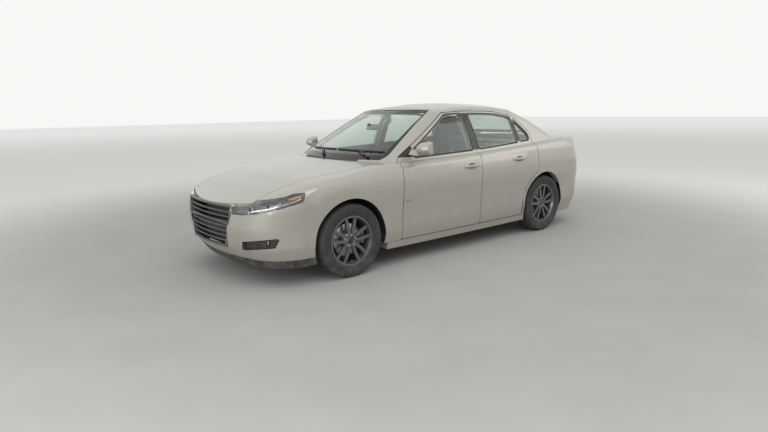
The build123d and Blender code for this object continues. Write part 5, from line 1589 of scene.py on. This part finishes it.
        corner = [Vector(p) for p in self.slot]
        blades = []
        for share in (0.22, 0.5, 0.78):
            inner, outer = corner[0].lerp(corner[3], share), corner[1].lerp(corner[2], share)
            spots = [inner.lerp(outer, t) for t in (0.0, 0.2, 0.36, 0.52, 0.68, 0.84, 1.0)]
            points = [(skin(p.x) - self.blade_depth, sign * p.x, p.y) for p in spots]
            blades.append(Form.sweep(points,
                                     ((-0.008, -0.0022), (0.008, -0.0022), (0.0085, 0.0), (0.008, 0.0022),
                                      (-0.008, 0.0022))))
        self.fit("fog_blades_" + side, blades, Finishes.gloss_black)
        wall = rounded_outline(grow(self.slot, 0.004), 0.012, 4, 0.03)
        back = [[Vector((skin(y) - depth, sign * y, z)) for y, z in wall] for depth in (0.031, 0.035)]
        self.fit("fog_back_" + side, Form.loft(back), Finishes.trim)
        y, z = self.fog
        place = Vector((skin(y) - self.fog_depth, sign * y, z))
        ring = Form.lathe([(-0.002, 0.0), (-0.002, 0.030), (0.012, 0.032), (0.015, 0.0305), (0.013, 0.027),
                           (0.005, 0.020), (0.004, 0.0)], place, (1, 0, 0), 40)
        self.fit("fog_ring_" + side, ring, Finishes.chrome)
        dome = Form.lathe([(0.0095, 0.0), (0.0095, 0.0265), (0.0125, 0.0265), (0.015, 0.021),
                           (0.0165, 0.011), (0.017, 0.0)],
                          place, (1, 0, 0), 40)
        self.fit("fog_glass_" + side, dome, Finishes.lens)


@dataclass
class RearEnd(Assembly):
    """Valance, grip, reflectors and sensors of the rear."""

    valance: tuple[Point2, ...] = ((-0.62, 0.330), (0.62, 0.330), (0.56, 0.405), (-0.56, 0.405))
    grip: tuple[Point2, ...] = rectangle(-0.30, 0.775, 0.30, 0.800)
    reflector: tuple[Point2, ...] = rectangle(0.62, 0.455, 0.78, 0.485)
    sensor_places: tuple[float, ...] = (-0.72, -0.36, 0.36, 0.72)
    sensor_height: float = 0.525

    def build(self) -> None:
        """Make the rear end's pieces."""
        valance = rounded_outline(self.valance, 0.02, 4, 0.04)
        self.fit("rear_valance", self.cover("rear_bumper", "rear", valance, 0.004), Finishes.trim)
        grip = self.cover("trunk_lid", "rear", rounded_outline(self.grip, 0.008, 4, 0.03), 0.008)
        self.fit("lid_grip", grip, Finishes.gloss_black, "trunk_lid")
        for side, sign in SIDES.items():
            outline = rounded_outline([(sign * y, z) for y, z in self.reflector], 0.006, 4, 0.02)
            mesh = self.cover("rear_bumper", "rear", outline, 0.003)
            self.fit("rear_reflector_" + side, mesh, Finishes.red)
        self.sensors("rear", self.sensor_places, self.sensor_height)


@dataclass
class DoorFurniture(Assembly):
    """Handles, cards, edge plates, mirror faces and fuel flap."""

    handles: tuple[tuple[str, float, float], ...] = (("front_door", -0.095, 0.838),
                                                     ("rear_door", -0.860, 0.858))
    cards: tuple[tuple[str, tuple[Point2, ...], float], ...] = (
        ("front_door", ((0.780, 0.360), (0.800, 0.880), (0.560, 0.905), (-0.170, 0.915), (-0.200, 0.360)),
         0.30),
        ("rear_door", ((-0.300, 0.360), (-0.300, 0.915), (-0.900, 0.930), (-0.880, 0.720), (-0.780, 0.520),
                       (-0.720, 0.400)), -0.52))
    flap: tuple[Point2, ...] = rectangle(-1.640, 0.790, -1.500, 0.905)
    plate_heights: tuple[float, ...] = (0.600, 0.830)
    plate: tuple[Point2, ...] = ((0.7950, -0.026), (0.7580, -0.026), (0.7580, 0.026), (0.7950, 0.026))
    plate_faces: tuple[float, ...] = (0.0006, -0.0030)
    door_edge: float = 0.788
    pull: tuple[Point2, ...] = ((-1.0, 0.000), (-0.93, 0.012), (-0.80, 0.024), (-0.5, 0.033), (0.0, 0.036),
                                (0.5, 0.033), (0.80, 0.024), (0.93, 0.012), (1.0, 0.000))

    def build(self) -> None:
        """Make the doors' pieces."""
        for side, sign in SIDES.items():
            for door, x, z in self.handles:
                self._handle("%s_%s" % (door, side), sign, x, z)
            for door, outline, rest in self.cards:
                self._card("%s_%s" % (door, side), sign, outline, rest)
            self._mirror_face(side, sign)
            self._edge_plates("front_door_" + side, sign)
        flap = rounded_outline(self.flap, 0.035, 6, 0.03)
        mesh = self.cover("body_side_right", "side", flap, 0.0016, RIGHT)
        self.fit("fuel_flap", mesh, Finishes.paint)

    def _handle(self, body: str, sign: int, x: float, z: float) -> None:
        """Pull handle over a flat black sheet that is painted shade in place of the handle's recess.

        Args:
            body: door that it rides on.
            sign: 1 on the left, -1 on the right.
            x: middle of the handle.
            z: its height.
        """
        # Painted shade: a flat black sheet on the door where a handle recess would lie in shade
        recess_shade = [(x + 0.062 * math.cos(a), z + 0.026 * math.sin(a)) for a in turns(28)]
        self.fit(body + "_handle_cup", self.cover(body, "side", recess_shade, 0.0010, sign), Finishes.seal, body)
        points = []
        for t, lift in self.pull:
            points += self.line(body, "side", [(x + 0.098 * t, z + 0.003)], sign, lift)
        mesh = Form.sweep(points, Form.circle(0.0145, 14, 0.46), up=(0, sign, 0))
        self.fit(body + "_handle", mesh, Finishes.paint, body)

    def _card(self, body: str, sign: int, outline: Sequence[Point2], rest: float) -> None:
        """Inner panel with armrest, cloth field, lever and two buttons.

        Args:
            body: door that it rides on.
            sign: 1 on the left, -1 on the right.
            outline: its outline in (x, z).
            rest: middle of the armrest.
        """
        mesh = self.cover(body, "inside", rounded_outline(outline, 0.05, 5, 0.06), 0.010, sign)
        self.fit(body + "_card", mesh, Finishes.cabin, body)
        place, _ = self.seat(body, "inside", rest, 0.62, sign)
        inner = place.y - sign * 0.010
        rests = [Form.block((0.40, 0.052, 0.045), (rest - 0.04, inner - sign * 0.022, 0.640), 0.016,
                            steps=4),
                 Form.block((0.26, 0.034, 0.060), (rest - 0.06, inner - sign * 0.012, 0.420), 0.014,
                            steps=4)]
        self.fit(body + "_armrest", rests, Finishes.cabin_light, body)
        swatch = rounded_outline(((rest - 0.26, 0.70), (rest + 0.24, 0.70), (rest + 0.22, 0.82),
                                  (rest - 0.26, 0.83)),
                                 0.03, 4, 0.05)
        mesh = self.cover(body, "inside", swatch, 0.016, sign)
        self.fit(body + "_card_cloth", mesh, Finishes.cloth, body)
        lever = [Form.block((0.070, 0.012, 0.018), (rest + 0.17, inner - sign * 0.012, 0.745), 0.005),
                 Form.block((0.022, 0.008, 0.005), (rest + 0.09, inner - sign * 0.030, 0.664), 0.002),
                 Form.block((0.022, 0.008, 0.005), (rest + 0.06, inner - sign * 0.030, 0.664), 0.002)]
        self.fit(body + "_lever", lever, Finishes.steel, body)

    def _edge_plates(self, body: str, sign: int) -> None:
        """Flush plates on the door's front edge beside its hinges, the lower one over a notch.

        Args:
            body: door that they ride on.
            sign: 1 on the left, -1 on the right.
        """
        plates = []
        for z in self.plate_heights:
            spots = [(x, z + dz, self.seat(body, "side", min(x, self.door_edge), z + dz, sign)[0].y)
                     for x, dz in self.plate]
            plates.append(Form.loft([[Vector((x, y + sign * depth, high)) for x, high, y in spots]
                                     for depth in self.plate_faces]))
        self.fit(body + "_edge_plates", plates, Finishes.paint, body)

    def _mirror_face(self, side: str, sign: int) -> None:
        """Mirror face in its housing.

        Args:
            side: left or right.
            sign: 1 on the left, -1 on the right.
        """
        outline = [(sign * (0.933 + 0.050 * math.cos(a)), 1.049 + 0.043 * math.sin(a))
                   for a in turns(32)]
        mesh = self.cover("mirror_" + side, "aft", outline, 0.003)
        body = self.workshop.body_of("mirror_" + side)
        self.fit("mirror_face_" + side, mesh, Finishes.mirror_face, body)


@dataclass
class Wipers(Assembly):
    """Two arms and blades at the foot of the windshield."""

    arms: tuple[tuple, ...] = (("driver", 0.50, 0.60, 0.02, 1.012, 1.020),
                               ("passenger", -0.10, -0.02, -0.52, 1.020, 1.012))
    section: tuple[Point2, ...] = ((-0.005, -0.006), (0.005, -0.006), (0.006, 0.001), (0.002, 0.006),
                                   (-0.006, 0.003))
    spindle: tuple[Point2, ...] = ((-0.030, 0.0), (-0.030, 0.012), (0.008, 0.015), (0.014, 0.012),
                                   (0.014, 0.0))
    glass_up: Point = (0.6, 0, 0.8)
    lift: float = 0.007

    def build(self) -> None:
        """Make both wipers."""
        for name, pivot, y_from, y_to, z_from, z_to in self.arms:
            blade = []
            for k in range(9):
                t = k / 8
                place, normal = self.seat("windshield", "front", y_from + (y_to - y_from) * t,
                                          z_from + (z_to - z_from) * t)
                blade.append(place + normal * self.lift)
            parts = [Form.sweep(blade, self.section, up=self.glass_up)]
            foot, normal = self.seat("windshield", "front", pivot, 0.966)
            middle = blade[4] + Vector((0.4, 0, 0.6)).normalized() * 0.010
            root = foot + normal * 0.012
            bend = root.lerp(middle, 0.30) + normal * 0.012
            parts.append(Form.sweep([root, bend, root.lerp(middle, 0.65) + normal * 0.010, middle],
                                    Form.circle(0.0075, 10, 0.6), up=self.glass_up))
            parts.append(Form.lathe(self.spindle, root, normal, 24))
            self.fit("wiper_" + name, parts, Finishes.trim)


@dataclass
class SoftSeats(Assembly):
    """Seat cushions blown up as cloth, with the frames that carry them."""

    voxel: float = 0.011
    pressure: float = 4.0
    cap: float = 0.012
    frames: int = 20

    def build(self) -> None:
        """Make both front seats and the bench."""
        front = self._chair(self.sizes.seat_y) + self._chair(-self.sizes.seat_y)
        piece = self._puff("front_cushions", front)
        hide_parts("front_seats")
        rear = []
        for y in (-0.325, 0.325):
            rear += [Form.block((0.52, 0.630, 0.110), (-0.870, y * 0.985, 0.388), 0.025, lean(-5), 4),
                     Form.block((0.110, 0.630, 0.560), (-1.205, y * 0.985, 0.712), 0.030, lean(-17), 4),
                     Form.block((0.43, 0.600, 0.095), (-0.790, y, 0.452), 0.035, lean(-5), 5),
                     Form.block((0.088, 0.600, 0.500), (-1.150, y, 0.735), 0.035, lean(-17), 5)]
        piece = self._puff("rear_cushions", rear)
        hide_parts("rear_seat")
        self._frames()

    def _chair(self, y: float) -> list[bpy.types.Mesh]:
        """Cushion, back and restraint pads of one front seat.

        Args:
            y: its middle.

        Returns:
            The pads' meshes.
        """
        pads = [Form.block((0.490, 0.460, 0.100), (-0.050, y, 0.400), 0.025, lean(-4), 4),
                Form.block((0.075, 0.440, 0.470), (-0.355, y, 0.690), 0.025, lean(-14), 4),
                Form.block((0.085, 0.250, 0.145), (-0.445, y, 1.040), 0.032, lean(-8), 5),
                Form.block((0.470, 0.290, 0.060), (-0.040, y, 0.468), 0.024, lean(-4), 5),
                Form.block((0.055, 0.290, 0.400), (-0.318, y, 0.730), 0.024, lean(-14), 5)]
        for turn in (-1, 1):
            pads.append(Form.block((0.440, 0.085, 0.090), (-0.045, y + turn * 0.192, 0.475), 0.034,
                                   lean(-4), 5))
            pads.append(Form.block((0.100, 0.085, 0.400), (-0.312, y + turn * 0.192, 0.730), 0.036,
                                   lean(-14), 5))
        return pads

    def _frames(self) -> None:
        """Rails, risers, back shells and restraint posts of the front seats."""
        rails, shells, posts = [], [], []
        for side in (LEFT, RIGHT):
            y = side * self.sizes.seat_y
            for edge in (-0.180, 0.180):
                rails.append(Form.block((0.560, 0.034, 0.034), (-0.050, y + edge, 0.215), 0.005))
                rails += [Form.block((0.050, 0.030, 0.150), (x, y + edge, 0.285), 0.006)
                          for x in (-0.240, 0.130)]
            shells.append(Form.block((0.016, 0.400, 0.430), (-0.398, y, 0.690), 0.007, lean(-14), 4))
            shells.append(Form.block((0.470, 0.022, 0.070), (-0.050, y + side * 0.236, 0.350), 0.009,
                                     steps=4))
            posts += [Form.sweep([(-0.405, y + edge, 0.885), (-0.430, y + edge, 0.960),
                                  (-0.442, y + edge, 1.010)],
                                 Form.circle(0.006, 12), up=(0, 1, 0)) for edge in (-0.070, 0.070)]
        self.fit("seat_rails", rails, Finishes.chassis)
        self.fit("seat_shells", shells, Finishes.cabin)
        self.fit("restraint_posts", posts, Finishes.steel)

    def _puff(self, name: str, pads: Sequence[bpy.types.Mesh]) -> bpy.types.Object:
        """Let the pads swell a little.

        Args:
            name: name of the piece.
            pads: its pads as plain blocks.

        Returns:
            The piece.
        """
        made = bpy.data.objects.new(name, Form.join(name, pads))
        bpy.context.scene.collection.objects.link(made)
        bpy.context.view_layer.objects.active = made
        remesh = made.modifiers.new("even_mesh", "REMESH")
        remesh.voxel_size = self.voxel
        self._apply(made)
        before = [v.co.copy() for v in made.data.vertices]
        cloth = made.modifiers.new("swell", "CLOTH")
        cloth.settings.use_pressure = True
        cloth.settings.uniform_pressure_force = self.pressure
        cloth.settings.effector_weights.gravity = 0.0
        cloth.point_cache.frame_start = 1
        cloth.point_cache.frame_end = self.frames
        for number in range(1, self.frames + 1):
            bpy.context.scene.frame_set(number)
        self._apply(made)
        bpy.context.scene.frame_set(1)
        for vertex, start in zip(made.data.vertices, before):
            move = vertex.co - start
            if move.length > self.cap:
                vertex.co = start + move.normalized() * self.cap
        mesh = made.data.copy()
        bpy.data.objects.remove(made)
        return self.fit(name, mesh, Finishes.cloth)

    @staticmethod
    def _apply(made: bpy.types.Object) -> None:
        """Turn the object's modifiers into its mesh.

        Args:
            made: the object.
        """
        graph = bpy.context.evaluated_depsgraph_get()
        mesh = bpy.data.meshes.new_from_object(made.evaluated_get(graph))
        made.modifiers.clear()
        made.data = mesh


@dataclass
class Cabin(Assembly):
    """Dashboard details, wheel cap, levers, pedals, mats, console and headliner."""

    def build(self) -> None:
        """Make the cabin's pieces."""
        self._wheel()
        self._dash()
        self._pedals()
        lining = rounded_outline(rectangle(-0.92, -0.44, 0.10, 0.44), 0.06, 4, 0.08)
        self.fit("headliner", self.cover("roof_panel", "under", lining, 0.006), Finishes.cabin_light)
        mats = []
        for sign in (LEFT, RIGHT):
            for x_from, x_to in ((0.22, 0.62), (-0.52, -0.34)):
                outline = rounded_outline(rectangle(x_from, sign * 0.22, x_to, sign * 0.56), 0.03, 4, 0.06)
                mats.append(self.cover("floor_pan", "floor", outline, 0.006))
        self.fit("floor_mats", mats, Finishes.bolster)
        self._console()

    def _wheel(self) -> None:
        """Cap, spoke trims and column levers."""
        centre, tilt = Vector(self.sizes.steering), math.radians(self.sizes.wheel_tilt)
        toward = Vector((-math.cos(tilt), 0, math.sin(tilt)))
        place, _ = self.workshop.on_surface("steering_wheel", centre + toward * 0.25, -toward)
        turn = Matrix.Rotation(tilt, 3, "Y")
        cap = [Form.block((0.024, 0.155, 0.125), place + toward * 0.004, 0.018, turn, 5),
               Form.block((0.004, 0.030, 0.020), place + toward * 0.017, 0.0019, turn, 3)]
        for sign in (LEFT, RIGHT):
            cap.append(Form.block((0.012, 0.036, 0.030),
                                  place + Vector((0, sign * 0.105, 0)) + toward * 0.003, 0.005, turn))
        self.fit("wheel_cap", cap, Finishes.cabin, "steering_wheel")
        levers = []
        for sign in (LEFT, RIGHT):
            root = centre - toward * 0.060 + Vector((0, sign * 0.030, 0))
            tip = root + Vector((-0.010, sign * 0.125, 0.020))
            levers.append(Form.sweep([root, root.lerp(tip, 0.6), tip], Form.circle(0.0065, 12),
                                     up=(1, 0, 0)))
            levers.append(Form.sweep([root.lerp(tip, 0.68), root.lerp(tip, 0.8), tip + (tip - root) * 0.06],
                                     Form.circle(0.0095, 14, 0.8), up=(1, 0, 0)))
        self.fit("column_levers", levers, Finishes.cabin)

    def _dash(self) -> None:
        """Instrument hood, vents, blank screens, knobs and glove box."""
        def face(y: float, z: float) -> float:
            """Dashboard's rear face at one spot.

            Args:
                y: place across the car.
                z: height.

            Returns:
                The x of the face.
            """
            return self.workshop.on_surface("dashboard", (0.0, y, z), (1, 0, 0))[0].x
        top = self.workshop.on_surface("dashboard", (0.70, self.sizes.seat_y, 1.3), (0, 0, -1))[0].z
        hood = []
        for k in range(9):
            angle = math.pi * k / 8
            y, z = self.sizes.seat_y + 0.150 * math.cos(angle), top - 0.004 + 0.048 * math.sin(angle)
            hood.append([Vector((x, y, z)) for x in (0.600, 0.760)]
                        + [Vector((x, self.sizes.seat_y + 0.140 * math.cos(angle), z - 0.010))
                           for x in (0.760, 0.604)])
        self.fit("instrument_hood", Form.loft(hood), Finishes.cabin)
        parts, screens = [], []
        for y in (-0.60, -0.13, 0.13, 0.60):
            x = face(y, 0.800)
            parts.append(Form.block((0.016, 0.130, 0.070), (x - 0.002, y, 0.800), 0.006))
            for k in range(4):
                parts.append(Form.block((0.010, 0.104, 0.0035), (x - 0.012, y, 0.780 + 0.0135 * k), 0.0012))
        self.fit("air_vents", parts, Finishes.gloss_black)
        screens.append(Form.block((0.012, 0.200, 0.105), (face(0, 0.70) - 0.006, 0.0, 0.700), 0.004))
        screens.append(Form.block((0.006, 0.240, 0.060), (0.742, self.sizes.seat_y, top + 0.014), 0.002))
        self.fit("blank_screens", screens, Finishes.gloss_black)
        knobs = [Form.lathe([(-0.004, 0.0), (-0.004, 0.017), (0.016, 0.015), (0.018, 0.013), (0.018, 0.0)],
                            (face(y, 0.610), y, 0.610), (-1, 0, 0), 28) for y in (-0.07, 0.0, 0.07)]
        self.fit("climate_knobs", knobs, Finishes.chassis)
        x = face(-0.365, 0.640)
        box = [Form.block((0.010, 0.360, 0.150), (x - 0.002, -0.365, 0.655), 0.004),
               Form.block((0.012, 0.080, 0.016), (x - 0.010, -0.365, 0.712), 0.004)]
        self.fit("glove_box", box, Finishes.cabin_light)

    def _pedals(self) -> None:
        """Two pedals with ribbed pads and the interior mirror."""
        pads = []
        for y, wide in ((0.300, 0.045), (0.390, 0.060)):
            pads.append(Form.block((0.014, wide, 0.080), (0.770, y, 0.375), 0.005, lean(-28)))
            for k in range(4):
                pads.append(Form.block((0.005, wide * 0.85, 0.006), (0.7705 - 0.0115 + 0.0093 * (k - 1.5),
                                                                     y, 0.372 + 0.0165 * (k - 1.5)), 0.002,
                                       lean(-28)))
            pads.append(Form.sweep([(0.775, y, 0.39), (0.815, y, 0.47), (0.880, y, 0.56)],
                                   Form.circle(0.007, 10),
                                   up=(1, 0, 0)))
        self.fit("pedals", pads, Finishes.chassis)
        place, _ = self.workshop.on_surface("windshield", (0.0, 0.0, 1.235), (1, 0, 0))
        body = [Form.block((0.030, 0.225, 0.062), (place.x - 0.070, 0, 1.215), 0.013, lean(-10), 4),
                Form.sweep([(place.x - 0.001, 0, 1.236), (place.x - 0.030, 0, 1.228),
                            (place.x - 0.064, 0, 1.215)],
                           Form.circle(0.008, 12), up=(0, 1, 0)),
                Form.block((0.012, 0.046, 0.046), (place.x - 0.006, 0, 1.236), 0.005)]
        self.fit("interior_mirror", body, Finishes.gloss_black)
        glass = Form.block((0.003, 0.205, 0.046), (place.x - 0.0858, 0, 1.2122), 0.0012, lean(-10))
        self.fit("interior_mirror_face", glass, Finishes.mirror_face)

    def _console(self) -> None:
        """Gear lever in its gaiter and the parking brake."""
        foot, _ = self.workshop.on_surface("centre_console", (0.330, 0.0, 1.0), (0, 0, -1))
        gaiter = [(0.0, 0.0), (0.0, 0.052), (0.010, 0.050), (0.016, 0.040), (0.024, 0.040), (0.030, 0.029),
                  (0.038, 0.029), (0.044, 0.019), (0.054, 0.017), (0.060, 0.0)]
        self.fit("gear_gaiter", Form.lathe(gaiter, foot, (-0.1, 0, 1), 36), Finishes.bolster)
        lever = [(0.045, 0.0), (0.045, 0.0065), (0.085, 0.0065), (0.090, 0.013), (0.105, 0.020),
                 (0.122, 0.0225), (0.134, 0.018), (0.140, 0.008), (0.141, 0.0)]
        self.fit("gear_lever", Form.lathe(lever, foot, (-0.1, 0, 1), 36), Finishes.gloss_black)
        foot, _ = self.workshop.on_surface("centre_console", (0.02, 0.035, 1.0), (0, 0, -1))
        brake = Form.sweep([foot + Vector((-0.10, 0, -0.004)), foot + Vector((-0.05, 0, 0.012)),
                            foot + Vector((0.06, 0, 0.050)), foot + Vector((0.15, 0, 0.085))],
                           Form.circle(0.015, 14, 1.1))
        self.fit("parking_brake", brake, Finishes.grip)


@dataclass
class UnderHood(Assembly):
    """Engine cover, battery, coolant tank, brake booster, hoses and hood pad."""

    cover_outline: tuple[Point2, ...] = rectangle(1.46, -0.24, 1.79, 0.25)
    pad_outline: tuple[Point2, ...] = ((1.180, -0.500), (1.950, -0.420), (2.060, -0.200), (2.060, 0.200),
                                       (1.950, 0.420), (1.180, 0.500))
    tray: Point2 = (1.955, 0.480)

    def build(self) -> None:
        """Make the engine bay's pieces."""
        outline = rounded_outline(self.cover_outline, 0.05, 5, 0.05)
        ribs = [Form.block((0.28, 0.012, 0.010), (1.625, y, self._top(1.625, y) + 0.028), 0.004)
                for y in (-0.16, -0.08, 0.0, 0.08, 0.16)]
        self.fit("engine_cover", [self.cover("engine_block", "top", outline, 0.025), *ribs], Finishes.trim)
        cap = Form.lathe([(-0.030, 0.0), (-0.030, 0.024), (0.012, 0.024), (0.016, 0.021), (0.016, 0.0)],
                         (1.50, 0.19, self._top(1.50, 0.19) + 0.024), (0, 0, 1), 24)
        self.fit("oil_cap", cap, Finishes.gloss_black)
        pad = rounded_outline(self.pad_outline, 0.06, 5, 0.06)
        self.fit("hood_pad", self.cover("hood", "bay", pad, 0.008), Finishes.bolster, "hood")
        self._tray_box("battery", 0.430, (0.230, 0.165, 0.185), Finishes.chassis)
        self._tray_box("coolant_tank", -0.430, (0.150, 0.130, 0.150), Finishes.cabin_light)
        self._booster()
        hoses = []
        for y, z in ((0.235, 0.605), (-0.235, 0.385)):
            path = [Vector((1.834, y * 0.8, z + 0.03)), Vector((1.880, y * 0.82, z + 0.032)),
                    Vector((1.940, y * 0.90, z + 0.018)), Vector((2.020, y, z)), Vector((2.077, y, z))]
            hoses.append(Form.sweep(path, Form.circle(0.019, 18)))
            for k in (0, 4):
                side = path[k] + Vector((0.010 if k == 0 else -0.014, 0, 0))
                hoses.append(Form.lathe([(-0.006, 0.0), (-0.006, 0.0215), (0.006, 0.0215), (0.006, 0.0)],
                                        side, (1, 0, 0), 28))
        self.fit("radiator_hoses", hoses, Finishes.seal)

    def _tray_box(self, name: str, y: float, size: Point, finish: Finish) -> None:
        """Box on a tray that an arm carries from the radiator's side.

        Args:
            name: name of the piece.
            y: its place across the car.
            size: its lengths.
            finish: its finish.
        """
        (x, low), sign = self.tray, LEFT if y > 0 else RIGHT
        tray = [Form.block((size[0] + 0.016, size[1] + 0.016, 0.006), (x, y, low - 0.003), 0.002),
                Form.block((0.110, 0.070, 0.016), (2.027, sign * 0.340, low - 0.012), 0.003),
                Form.block((0.150, 0.020, 0.040), (x + 0.020, sign * 0.362, low - 0.026), 0.003)]
        self.fit(name + "_tray", tray, Finishes.chassis)
        parts = [Form.block(size, (x, y, low + size[2] / 2), 0.010, steps=4),
                 Form.block((size[0] * 1.02, size[1] * 1.02, 0.012), (x, y, low + size[2] * 0.82), 0.003)]
        for dx, dy in ((-0.3, -0.25), (0.3, -0.25)):
            parts.append(Form.lathe([(-0.004, 0.0), (-0.004, 0.014), (0.012, 0.014), (0.016, 0.011),
                                     (0.016, 0.0)],
                                    (x + dx * size[0], y + dy * size[1], low + size[2]), (0, 0, 1), 24))
        self.fit(name, parts, finish)

    def _booster(self) -> None:
        """Round brake booster with its cylinder and fluid bottle on the firewall."""
        found = self.workshop.hit("floor_pan", (1.35, 0.330, 0.690), (-1, 0, 0))
        if not found:
            return
        at = found[0]
        drum = [(-0.004, 0.0), (-0.004, 0.085), (0.004, 0.100), (0.022, 0.108), (0.030, 0.1105),
                (0.036, 0.108), (0.060, 0.095), (0.072, 0.060), (0.076, 0.030), (0.078, 0.0)]
        self.fit("brake_booster", Form.lathe(drum, at, (1, 0, 0), 48), Finishes.chassis)
        pump = Form.lathe([(0.070, 0.0), (0.070, 0.030), (0.084, 0.030), (0.086, 0.018), (0.190, 0.018),
                           (0.194, 0.015), (0.194, 0.0)], at, (1, 0, 0), 28)
        self.fit("brake_cylinder", pump, Finishes.engine)
        bottle = [Form.block((0.085, 0.058, 0.050), (at.x + 0.135, at.y, at.z + 0.040), 0.012, steps=4),
                  Form.lathe([(0.0, 0.0), (0.0, 0.020), (0.014, 0.020), (0.017, 0.017), (0.017, 0.0)],
                             (at.x + 0.120, at.y, at.z + 0.062), (0, 0, 1), 24)]
        self.fit("brake_fluid_bottle", bottle, Finishes.cabin_light)

    def _top(self, x: float, y: float) -> float:
        """Height of the engine block at one spot.

        Args:
            x: place along the car.
            y: place across it.

        Returns:
            The height.
        """
        return self.workshop.on_surface("engine_block", (x, y, 1.5), (0, 0, -1))[0].z


def clear_scene() -> None:
    """Remove what the empty Blender file holds."""
    for leftover in list(bpy.data.objects):
        bpy.data.objects.remove(leftover)


def main() -> None:
    """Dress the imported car, from the paint to the studio."""
    logging.basicConfig(level=logging.INFO, format="%(name)s: %(message)s")
    clear_scene()
    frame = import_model()
    workshop = Workshop(frame)
    bpy.context.scene.view_settings.view_transform = "Standard"
    wheels = [WheelDressing(workshop, SIZES, *wheel) for wheel in SIZES.wheels()]
    for part in (CameraRig(), Paintwork(workshop), Tyres(workshop), *wheels, GlassTrim(workshop),
                 FrontEnd(workshop), RearEnd(workshop), DoorFurniture(workshop), Wipers(workshop),
                 Cabin(workshop), SoftSeats(workshop), UnderHood(workshop), Studio(workshop)):
        part.build()
        LOG.info("%s done", type(part).__name__)
    LOG.info("%d pieces added", workshop.count)


if __name__ == "__main__":
    main()
